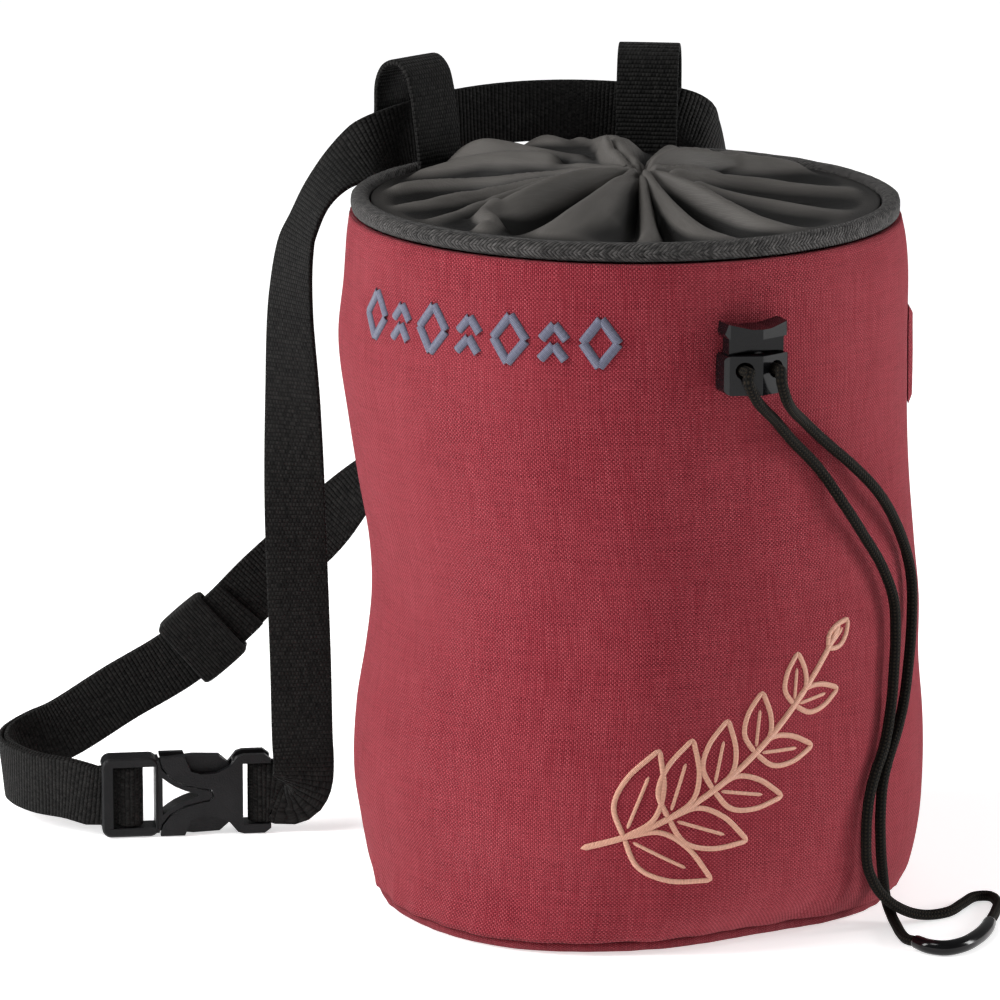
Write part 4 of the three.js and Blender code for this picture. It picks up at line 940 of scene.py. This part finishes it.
def closurePiece():
    turns, rings = closure["turns"], closure["rings"]
    angle = np.repeat(np.arange(turns) * 2 * math.pi / turns, rings + 1).reshape(turns, rings + 1)
    out = np.tile(np.linspace(0, 1, rings + 1), (turns, 1))
    run = np.minimum(out / 0.965, 1)
    radius = (closure["cinch"] + (closure["radius"] - closure["cinch"]) * out) * 1000
    x = radius * np.cos(angle) + closure["drift"] * 1000 * (1 - run) ** 2
    y = radius * np.sin(angle)
    rise = smoothed(closureRise(x, y, run, angle), 1)
    # crest: height above the broader shape round it; the closure's colour is near black where it is low, as
    # painted shade in the hollows between folds
    around = smoothed(rise.copy(), closure["broad"])
    crests = np.clip(0.5 + (rise - around) / closure["crest"], 0, 1)
    points = []
    for i in range(turns):
        for k in range(rings + 1):
            spot = laid(rimLean + x[i, k] / 1000, y[i, k] / 1000, closure["hem"] + rise[i, k] / 1000)
            crease = noise.noise(Vector((angle[i, k] * 9, out[i, k] * 2.2, 0)))
            crease += 0.5 * noise.noise(Vector((angle[i, k] * 23, out[i, k] * 3.5, 4)))
            points.append(spot + upAxis * (closure["crease"] * crease * math.sin(math.pi * run[i, k])))
    reach = closure["radius"]
    span = 2 * math.pi * reach
    faces, uvs = gridFaces(turns, rings + 1, lambda i, j: (i / turns * span, j / rings * reach),
                           roundRows=True)
    obj = meshObject("closure_cloth", points, faces, uvs, materials["closure"])
    # the crest mask, which paints shade into the closure's hollows
    crest = obj.data.attributes.new("crest", "FLOAT", "POINT")
    crest.data.foreach_set("value", crests.ravel())
    thicken(obj, "thickness", closure["thick"])
    return finishPiece(obj, "bag", "closure_fabric", "closure")


closureCloth = closurePiece()
print("closure made")


# webbing: belt, loops and keeper

web = {"width": 0.016, "thick": 0.0014, "tailGap": 0.0005, "loopDepth": 0.015, "loopHeight": 0.0266,
       "leftLoop": 28.5, "rightLoop": 26, "tail": 0.026, "step": 0.0014}
backTurn = 90 + 20
innerLegReach = math.sqrt(closure["radius"] ** 2 - (web["width"] / 2) ** 2) - web["thick"] / 2
webCorner, webBulge = 0.00042, 0.04


def bandSection(width, thick, corner):
    points = []
    for w, t, start in ((1, 1, 0), (-1, 1, 90), (-1, -1, 180), (1, -1, 270)):
        middle = Vector((w * (width / 2 - corner), t * (thick / 2 - corner)))
        points += [middle + Vector(cosSin(start + degrees)) * corner for degrees in (0, 30, 60, 90)]
        if start in (0, 180):
            for share in (0.5, 0, -0.5):
                bulge = 1 + webBulge * (1 - share ** 2)
                points.append(Vector((w * share * (width / 2 - corner), t * thick / 2 * bulge)))
    return points


# distances round a closed section
def girthOf(section):
    girth = [0.0]
    for here, there in zip(section, section[1:] + section[:1]):
        girth.append(girth[-1] + (there - here).length)
    return girth


# rows of a middle and an edge direction become middles, edge and face directions in even steps
def stationsOf(rows, step):
    middles, edges = zip(*rows)
    stations = []
    for place in evenPlaces(middles, step)[0]:
        centre = curveAt(middles, place)
        ahead = curveAt(middles, min(place + 1e-4, 1)) - curveAt(middles, max(place - 1e-4, 0))
        along = ahead.normalized()
        edge = curveAt(edges, place, even=True)
        edge = (edge - along * edge.dot(along)).normalized()
        stations.append((centre, edge, along.cross(edge)))
    return stations


def bandPiece(name, stations, width, thick, corner, material):
    section = bandSection(width, thick, corner)
    points, run = [], [0.0]
    for i, (centre, edge, face) in enumerate(stations):
        if i:
            run.append(run[-1] + (centre - stations[i - 1][0]).length)
        points += [centre + edge * w + face * t for w, t in section]
    girth = girthOf(section)
    faces, uvs = gridFaces(len(stations), len(section), lambda i, j: (run[i], girth[j]),
                           roundColumns=True, capped=True)
    obj = meshObject(name, points, faces, uvs, material)
    turnOut(obj)
    return obj


# out as a share of the loop's depth, up as a share of its height
loopBend = [(0, 0), (0.05, 0.2), (0.12, 0.45), (0.2, 0.7), (0.32, 0.88), (0.55, 0.97), (0.83, 0.92),
            (0.99, 0.77), (1.02, 0.5), (1, 0.1)]
for name, turn in (("belt_loop_left", backTurn + web["leftLoop"]),
                   ("belt_loop_right", backTurn - web["rightLoop"])):
    c, s = cosSin(turn)
    edge = laid(-s, c, 0)
    rows = [(rimPoint(turn, innerLegReach, closure["hem"] + bag["seat"]), edge)]
    for out, up in loopBend:
        level = bag["height"] + web["loopHeight"] * up
        rows.append((rimPoint(turn, innerLegReach + web["loopDepth"] * out, level), edge))
    for share in (0, 0.35, 0.7, 1):
        level = bag["height"] - 0.34 * web["loopHeight"] - web["tail"] * share
        rows.append((wallPoint(turn, wallShare(turn, level), bag["seat"] * 2 + web["thick"] / 2), edge))
    loop = bandPiece(name + "_webbing", stationsOf(rows, 0.001), web["width"], web["thick"], webCorner,
                     materials["webbing"])
    finishPiece(loop, "bag", "webbing", name)

# buckle frame: u along the buckle, v up from its underside, w from its front face to the back
buckle = {"length": 0.0444, "depth": 0.007, "rail": 0.0024, "bar": 0.0034, "barDepth": 0.0026,
          "endBar": 0.0029, "endDepth": 0.002, "turn": 7.7}
seat = bag["seat"]
buckleHeight = web["width"] + 2 * seat + 2 * buckle["rail"]
c, s = cosSin(buckle["turn"])
buckleAlong, buckleInward = laid(c, s, 0), laid(-s, c, 0)
buckleOrigin = laid(-2.007 * rimRadius, 0.451 * rimRadius, seat)
buckleMiddle = buckleHeight / 2


def inBuckle(u, w):
    return buckleOrigin + buckleAlong * u + buckleInward * w + upAxis * buckleMiddle


wrapGap = web["thick"] / 2 + seat
frontStrand = buckle["depth"] / 2 - buckle["barDepth"] / 2 - wrapGap
backStrand = buckle["depth"] / 2 + buckle["barDepth"] / 2 + wrapGap
entryStrand = buckle["endDepth"] + wrapGap
tailOffset = web["thick"] + web["tailGap"]


def roundBar(middle, side):
    reach, high = buckle["bar"] / 2 + wrapGap, buckle["barDepth"] / 2 + wrapGap
    return [inBuckle(middle + side * reach * c, buckle["depth"] / 2 + high * s)
            for c, s in map(cosSin, range(-90, 91, 30))]


socketBar = buckle["length"] - 0.0026
adjusterBar = buckle["endBar"] + 0.0047
bar = buckle["bar"]
cornerStart = inBuckle(socketBar + bar / 2, frontStrand)
# shares of the webbing width from the bar, and a direction across the webbing
cornerRows = [
    (0.13, 0.015, -0.01, (0, 0, 1)), (0.3, 0.02, -0.07, (-0.28, 0, 0.96)),
    (0.46, -0.02, -0.01, (-0.55, -0.06, 0.83)), (0.57, -0.05, 0.175, (-0.76, -0.13, 0.64)),
    (0.6, -0.05, 0.5, (-0.93, -0.13, 0.35)), (0.58, 0, 0.9, (-1, 0, 0)),
]
# the end sewn behind the socket: bars beyond its bar, and how far in front of the back strand
foldBack = [inBuckle(socketBar + bar * past, backStrand - front)
            for past, front in ((1.9, 0.0024), (1.15, 0.001), (0.45, 0))]
# across and back as shares of the rim radius, up as a share of the bag height
riseRows = [
    (-1.253, 0.553, 0.263, (-1, 0, 0)), (-1.27, 0.553, 0.474, (-0.995, 0.1, 0)),
    (-1.278, 0.55, 0.653, (-0.89, 0.46, 0)), (-1.284, 0.55, 0.8, (-0.7, 0.71, 0)),
    (-1.262, 0.553, 0.883, (-0.56, 0.83, 0)),
    (-1.232, 0.557, 0.915, (-0.45, 0.89, 0.06)), (-1.185, 0.564, 0.953, (-0.37, 0.9, 0.2)),
    (-1.118, 0.578, 0.984, (-0.27, 0.84, 0.45)), (-1.045, 0.596, 1.005, (-0.17, 0.66, 0.72)),
    (-0.965, 0.622, 1.022, (-0.03, 0.25, 0.97)),
]
returnRows = [
    (0.265, 1.075, 1.018, (0, 0.35, 0.93)), (0.31, 1.1, 0.995, (0.02, 0.65, 0.76)),
    (0.348, 1.13, 0.966, (0.03, 0.88, 0.45)), (0.37, 1.165, 0.932, (0.02, 0.98, 0.15)),
    (0.362, 1.2, 0.88, (0, 1, 0)), (0.26, 1.225, 0.8, (0, 1, 0)), (0.06, 1.245, 0.735, (0, 1, 0)),
    (-0.204, 1.235, 0.666, (0, 1, 0)), (-0.524, 1.19, 0.61, (-0.02, 0.99, 0.1)),
    (-0.815, 1.11, 0.548, (-0.12, 0.97, 0.2)), (-1.029, 1.055, 0.484, (-0.35, 0.8, 0.48)),
    (-1.211, 1.041, 0.409, (-0.6, 0.3, 0.74)), (-1.419, 1.041, 0.334, (-0.62, 0, 0.78)),
    (-1.555, 1.041, 0.28, (-0.6, 0, 0.8)), (-1.741, 1.041, 0.218, (-0.57, 0, 0.82)),
    (-1.972, 1.041, 0.163, (-0.55, 0, 0.83)), (-2.198, 1.034, 0.107, (-0.5, 0, 0.86)),
    (-2.3, 1.012, 0.091, (-0.38, 0, 0.92)), (-2.384, 0.95, 0.077, (-0.24, 0, 0.97)),
    (-2.413, 0.85, 0.07, (-0.12, 0, 0.99)), (-2.37, 0.73, 0.068, (-0.04, 0, 1)),
    (-2.274, 0.616, 0.067, (0, 0, 1)), (-2.147, 0.536, 0.067, (0, 0, 1)),
]
keeperRow = 14
# bars before the adjuster bar, and the share of the way from the front strand to the entry
wrapEntry = [(1.3, 1), (0.94, 0.62), (0.62, 0.22), (0.3, 0.03)]
backArc = {"steps": 8, "pastLeft": 0.5, "pastRight": 5, "sag": 0.13}
wrapStep, wrapEase = 0.0006, 0.00025


def fromTable(row):
    across, back, up, edge = row
    return laid(across * rimRadius, back * rimRadius, up * bag["height"]), laid(*edge)


def nearestTo(stations, point):
    return min(range(len(stations)), key=lambda i: (stations[i][0] - point).length)


def beltStations():
    rows = [(p, upAxis) for p in foldBack + roundBar(socketBar, -1)[::-1] + [cornerStart]]
    rows += [(cornerStart + laid(a, b, u) * web["width"], laid(*edge)) for a, b, u, edge in cornerRows]
    rows += [fromTable(row) for row in riseRows]
    arcStart = backTurn + web["leftLoop"] + backArc["pastLeft"]
    arcEnd = backTurn - web["rightLoop"] - backArc["pastRight"]
    reach = innerLegReach + web["loopDepth"] - 3 * web["thick"]
    level = bag["height"] + web["width"] / 2 + 2 * seat
    for i in range(backArc["steps"] + 1):
        share = i / backArc["steps"]
        sag = backArc["sag"] * web["width"] * (2 * share - 1) ** 2
        rows.append((rimPoint(arcStart + (arcEnd - arcStart) * share, reach, level - sag), upAxis))
    rows += [fromTable(row) for row in returnRows]
    rows.append((inBuckle(-buckle["endBar"], entryStrand + seat), upAxis))
    main = stationsOf(rows, web["step"])
    near, last, before = [fromTable(returnRows[keeperRow - k])[0] for k in (0, 1, 2)]
    tailStart = nearestTo(main, before.lerp(last, 0.62))
    tail = [(centre - face * tailOffset, edge, -face) for centre, edge, face in main[tailStart:]][::-1]
    wrap = [inBuckle(adjusterBar - bar * left, frontStrand + (entryStrand - frontStrand) * back)
            for left, back in wrapEntry]
    wrap += roundBar(adjusterBar, 1)
    wrap += [inBuckle(adjusterBar - bar * 0.6, backStrand - wrapEase),
             inBuckle(adjusterBar - bar * 1.3, entryStrand + tailOffset)]
    around = stationsOf([(p, upAxis) for p in wrap], wrapStep)
    keeperPlace = near.lerp(last, 0.5)
    return main + around + tail, main[nearestTo(main, keeperPlace)], keeperPlace


stations, keeperStation, keeperPlace = beltStations()
belt = bandPiece("belt_webbing", stations, web["width"], web["thick"], webCorner, materials["webbing"])
finishPiece(belt, "bag", "webbing", "belt")

keeper = {"length": 0.0145, "thick": 0.0013, "rings": 26, "corner": 0.0013, "innerCorner": 0.0004,
          "swell": 0.035, "ends": 0.05}


def keeperPiece():
    centre, edge, face = keeperStation
    along = edge.cross(face).normalized()
    wide = web["width"] / 2 + 2 * seat
    deep = web["thick"] + web["tailGap"] / 2 + 2 * seat
    middle = keeperPlace - face * tailOffset / 2
    outer = bandSection(2 * (wide + keeper["thick"]), 2 * (deep + keeper["thick"]), keeper["corner"])
    inner = bandSection(2 * wide, 2 * deep, keeper["innerCorner"])
    points, rings = [], keeper["rings"]
    for i in range(rings + 1):
        s = i / rings
        swell = 1 + keeper["swell"] * math.sin(math.pi * s) ** 0.5 - keeper["ends"] * abs(2 * s - 1) ** 12
        shift = along * keeper["length"] * (s - 0.5)
        points += [middle + shift + edge * w * swell + face * t * swell for w, t in outer]
    for i in range(rings, -1, -1):
        shift = along * keeper["length"] * (i / rings - 0.5)
        points += [middle + shift + edge * w + face * t for w, t in inner]
    girth, ring = girthOf(outer), keeper["length"] / rings
    faces, uvs = gridFaces(2 * rings + 2, len(outer), lambda i, j: (i * ring, girth[j]),
                           roundRows=True, roundColumns=True)
    obj = meshObject("keeper_elastic", points, faces, uvs, materials["elastic"])
    turnOut(obj)
    return finishPiece(obj, "bag", "elastic", "keeper")


keeperPiece()
print("belt, loops and keeper made")


# buckle and lock keep their solids' shapes, with rounded edges

rounding = {"flat": 2, "sharp": 35, "segments": 3, "buckle": 0.0006, "lock": 0.0005}
for node, look in (("buckle_male", "buckle"), ("buckle_female", "buckle"),
                   ("cord_lock_body", "lock"), ("cord_lock_button", "lock")):
    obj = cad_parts[node]
    flat = obj.modifiers.new("flat faces", "DECIMATE")
    flat.decimate_type = "DISSOLVE"
    flat.angle_limit = math.radians(rounding["flat"])
    edges = obj.modifiers.new("round edges", "BEVEL")
    edges.width = rounding[look]
    edges.segments = rounding["segments"]
    edges.limit_method = "ANGLE"
    edges.angle_limit = math.radians(rounding["sharp"])
    edges.harden_normals = True
    for materialSlot in obj.material_slots:
        materialSlot.material = materials[look]

# embroidery: satin strokes that follow the wall. Points are mm round the wall from the front,
# and mm above the floor

stitch = {"reach": 0.07, "step": 0.45, "sunk": 0.15, "backing": 0.0002}
lozengeRow = {"first": -74.5, "pitch": 11.2, "count": 7, "wide": 8.6, "tall": 11.5, "low": 148.6,
              "stroke": 2.5, "thick": 0.85, "slope": 0.1}
sprig = {"stem": [(-15, 29), (-3, 33), (11, 40), (25, 50), (39, 64), (52, 81)], "stroke": 1.45,
         "thick": 0.55, "leaf": 24.0, "shrink": 0.87, "plump": 0.27, "pairs": 5, "first": 0.17,
         "gap": 0.152, "spread": 50, "tip": 0.42}


def skinAt(across, up, offset):
    turn = -90 + math.degrees(across / 1000 / stitch["reach"])
    return skinPoint(turn, wallShare(turn, up / 1000), offset / 1000)


# a raised stroke of parallel threads along a path; its ends narrow to a point where asked
def satinStroke(work, path, wide, thick, pointed=False):
    corners = [Vector((p[0], p[1], 0)) for p in path]
    places, length = evenPlaces(corners, stitch["step"])
    centres = [curveAt(corners, place) for place in places]
    count, dome = len(centres), (-1, -0.8, -0.4, 0, 0.4, 0.8, 1)
    start = len(work["points"])
    for i, centre in enumerate(centres):
        ahead = (centres[min(i + 1, count - 1)] - centres[max(i - 1, 0)]).normalized()
        share = i / (count - 1)
        narrow = min(1, (min(share, 1 - share) * length / wide + 0.25) if pointed else 1)
        for w in dome:
            spot = centre + Vector((-ahead.y, ahead.x, 0)) * (w * wide / 2 * narrow)
            lift = thick * narrow * math.sqrt(max(0, 1 - w * w)) - stitch["sunk"]
            work["points"].append(skinAt(spot.x, spot.y, lift))
    run, half = length / 1000 / (count - 1), wide / 2000
    faces, uvs = gridFaces(count, len(dome), lambda i, j: (i * run, dome[j] * half), start=start)
    work["faces"] += faces
    work["uvs"] += uvs


def stitchedPiece(name, work, material, slotName):
    obj = meshObject(name, work["points"], work["faces"], work["uvs"], material)
    thicken(obj, "backing", stitch["backing"])
    return finishPiece(obj, "bag", slotName)


row = {"points": [], "faces": [], "uvs": []}
for i in range(lozengeRow["count"]):
    x = lozengeRow["first"] + lozengeRow["pitch"] * i
    y = lozengeRow["low"] + lozengeRow["slope"] * i
    w, t = lozengeRow["wide"] / 2, lozengeRow["tall"] / 2
    if i % 2:
        strokes = [[(x - w * 0.7, y + t * k), (x, y + t * (k + 0.62)), (x + w * 0.7, y + t * k)]
                   for k in (0.25, 1.1)]
    else:
        strokes = [[(x, y), (x - w, y + t), (x, y + 2 * t)], [(x, y + 2 * t), (x + w, y + t), (x, y)]]
    for a, b, c in strokes:
        for path in ([a, b], [b, c]):
            satinStroke(row, path, lozengeRow["stroke"], lozengeRow["thick"])
stitchedPiece("lozenge_stitching", row, materials["slate"], "red_fabric")

emblem = {"points": [], "faces": [], "uvs": []}
stem = [Vector((x, y, 0)) for x, y in sprig["stem"]]
satinStroke(emblem, stem, sprig["stroke"] * 1.2, sprig["thick"] * 1.1, pointed=True)


# two curved edges and a vein
def leafStrokes(base, heading, length):
    along = Vector((math.cos(heading), math.sin(heading), 0))
    aside = Vector((-along.y, along.x, 0))
    belly = length * sprig["plump"]
    for side in (1, -1):
        path = [base, base + along * length * 0.28 + aside * side * belly * 0.8,
                base + along * length * 0.6 + aside * side * belly * 0.75, base + along * length]
        satinStroke(emblem, path, sprig["stroke"], sprig["thick"], pointed=True)
    vein = [base + along * length * share for share in (0.1, 0.42, 0.7)]
    satinStroke(emblem, vein, sprig["stroke"] * 0.7, sprig["thick"] * 0.8, pointed=True)


for k in range(sprig["pairs"]):
    place = sprig["first"] + sprig["gap"] * k
    base = curveAt(stem, place)
    ahead = curveAt(stem, place + 0.02) - base
    heading = math.atan2(ahead.y, ahead.x)
    for side in (1, -1):
        leafStrokes(base, heading + side * math.radians(sprig["spread"] - 3 * k),
                    sprig["leaf"] * sprig["shrink"] ** (k + (0.25 if side > 0 else 0)))
leafStrokes(curveAt(stem, 0.93), math.atan2(8, 9), sprig["leaf"] * sprig["tip"])
stitchedPiece("sprig_stitching", emblem, materials["peach"], "red_fabric")
print("embroidery made")

# brush sleeve: a flat strip sewn on the side. Turn and span are degrees, the rest is in metres

sleeve = {"turn": -8 + 20, "span": 27, "wide": 0.033, "low": 0.125, "tall": 0.025, "edge": 0.0011,
          "bulge": 0.0007, "columns": 40, "levels": 36}


def sleevePiece():
    columns, levels, tall = sleeve["columns"], sleeve["levels"], sleeve["tall"]
    points = []
    for layer in (0, 1):
        for i in range(columns + 1):
            for k in range(levels + 1):
                turn = sleeve["turn"] + sleeve["span"] * (i / columns - 0.5)
                edge = min(1, min(i, columns - i, k, levels - k) / 3)
                full = math.sin(math.pi * i / columns) * math.sin(math.pi * k / levels)
                offset = seat + layer * (sleeve["edge"] * edge + sleeve["bulge"] * full)
                points.append(skinPoint(turn, wallShare(turn, sleeve["low"] + tall * k / levels), offset))

    def placeAt(i, k):
        return i / columns * sleeve["wide"], k / levels * tall

    def index(i, k):
        return i * (levels + 1) + k

    count = len(points) // 2
    inner, innerUvs = gridFaces(columns + 1, levels + 1, placeAt)
    outer, outerUvs = gridFaces(columns + 1, levels + 1, placeAt, start=count)
    faces, uvs = inner + outer, innerUvs + outerUvs
    ring = [(i, 0) for i in range(columns)] + [(columns, k) for k in range(levels)]
    ring += [(i, levels) for i in range(columns, 0, -1)] + [(0, k) for k in range(levels, 0, -1)]
    for a, b in zip(ring, ring[1:] + ring[:1]):
        faces.append([index(*a), index(*b), count + index(*b), count + index(*a)])
        uvs += [placeAt(*a), placeAt(*b), placeAt(*b), placeAt(*a)]
    obj = meshObject("sleeve_cloth", points, faces, uvs, materials["wall"])
    turnOut(obj)
    return finishPiece(obj, "bag", "red_fabric", "brush_sleeve")


sleevePiece()

# floor

floorMaterial, floorTree, floorShader = newMaterial("pale_floor")
floorTone = noiseOf(floorTree, objectPlace(floorTree), 3.0)
link(floorTree, mixColour(floorTree, floorTone, (0.83, 0.83, 0.83, 1), (0.86, 0.86, 0.86, 1)),
     floorShader.inputs["Base Color"])
setLook(floorShader, Roughness=0.9, Emission_Color=(1, 1, 1, 1), Emission_Strength=0.6)
corners = [(0, 0), (1, 0), (1, 1), (0, 1)]
floor = meshObject("floor", [(12 * x - 6, 12 * y - 6, 0) for x, y in corners], [[0, 1, 2, 3]], corners,
                   floorMaterial, smooth=False)
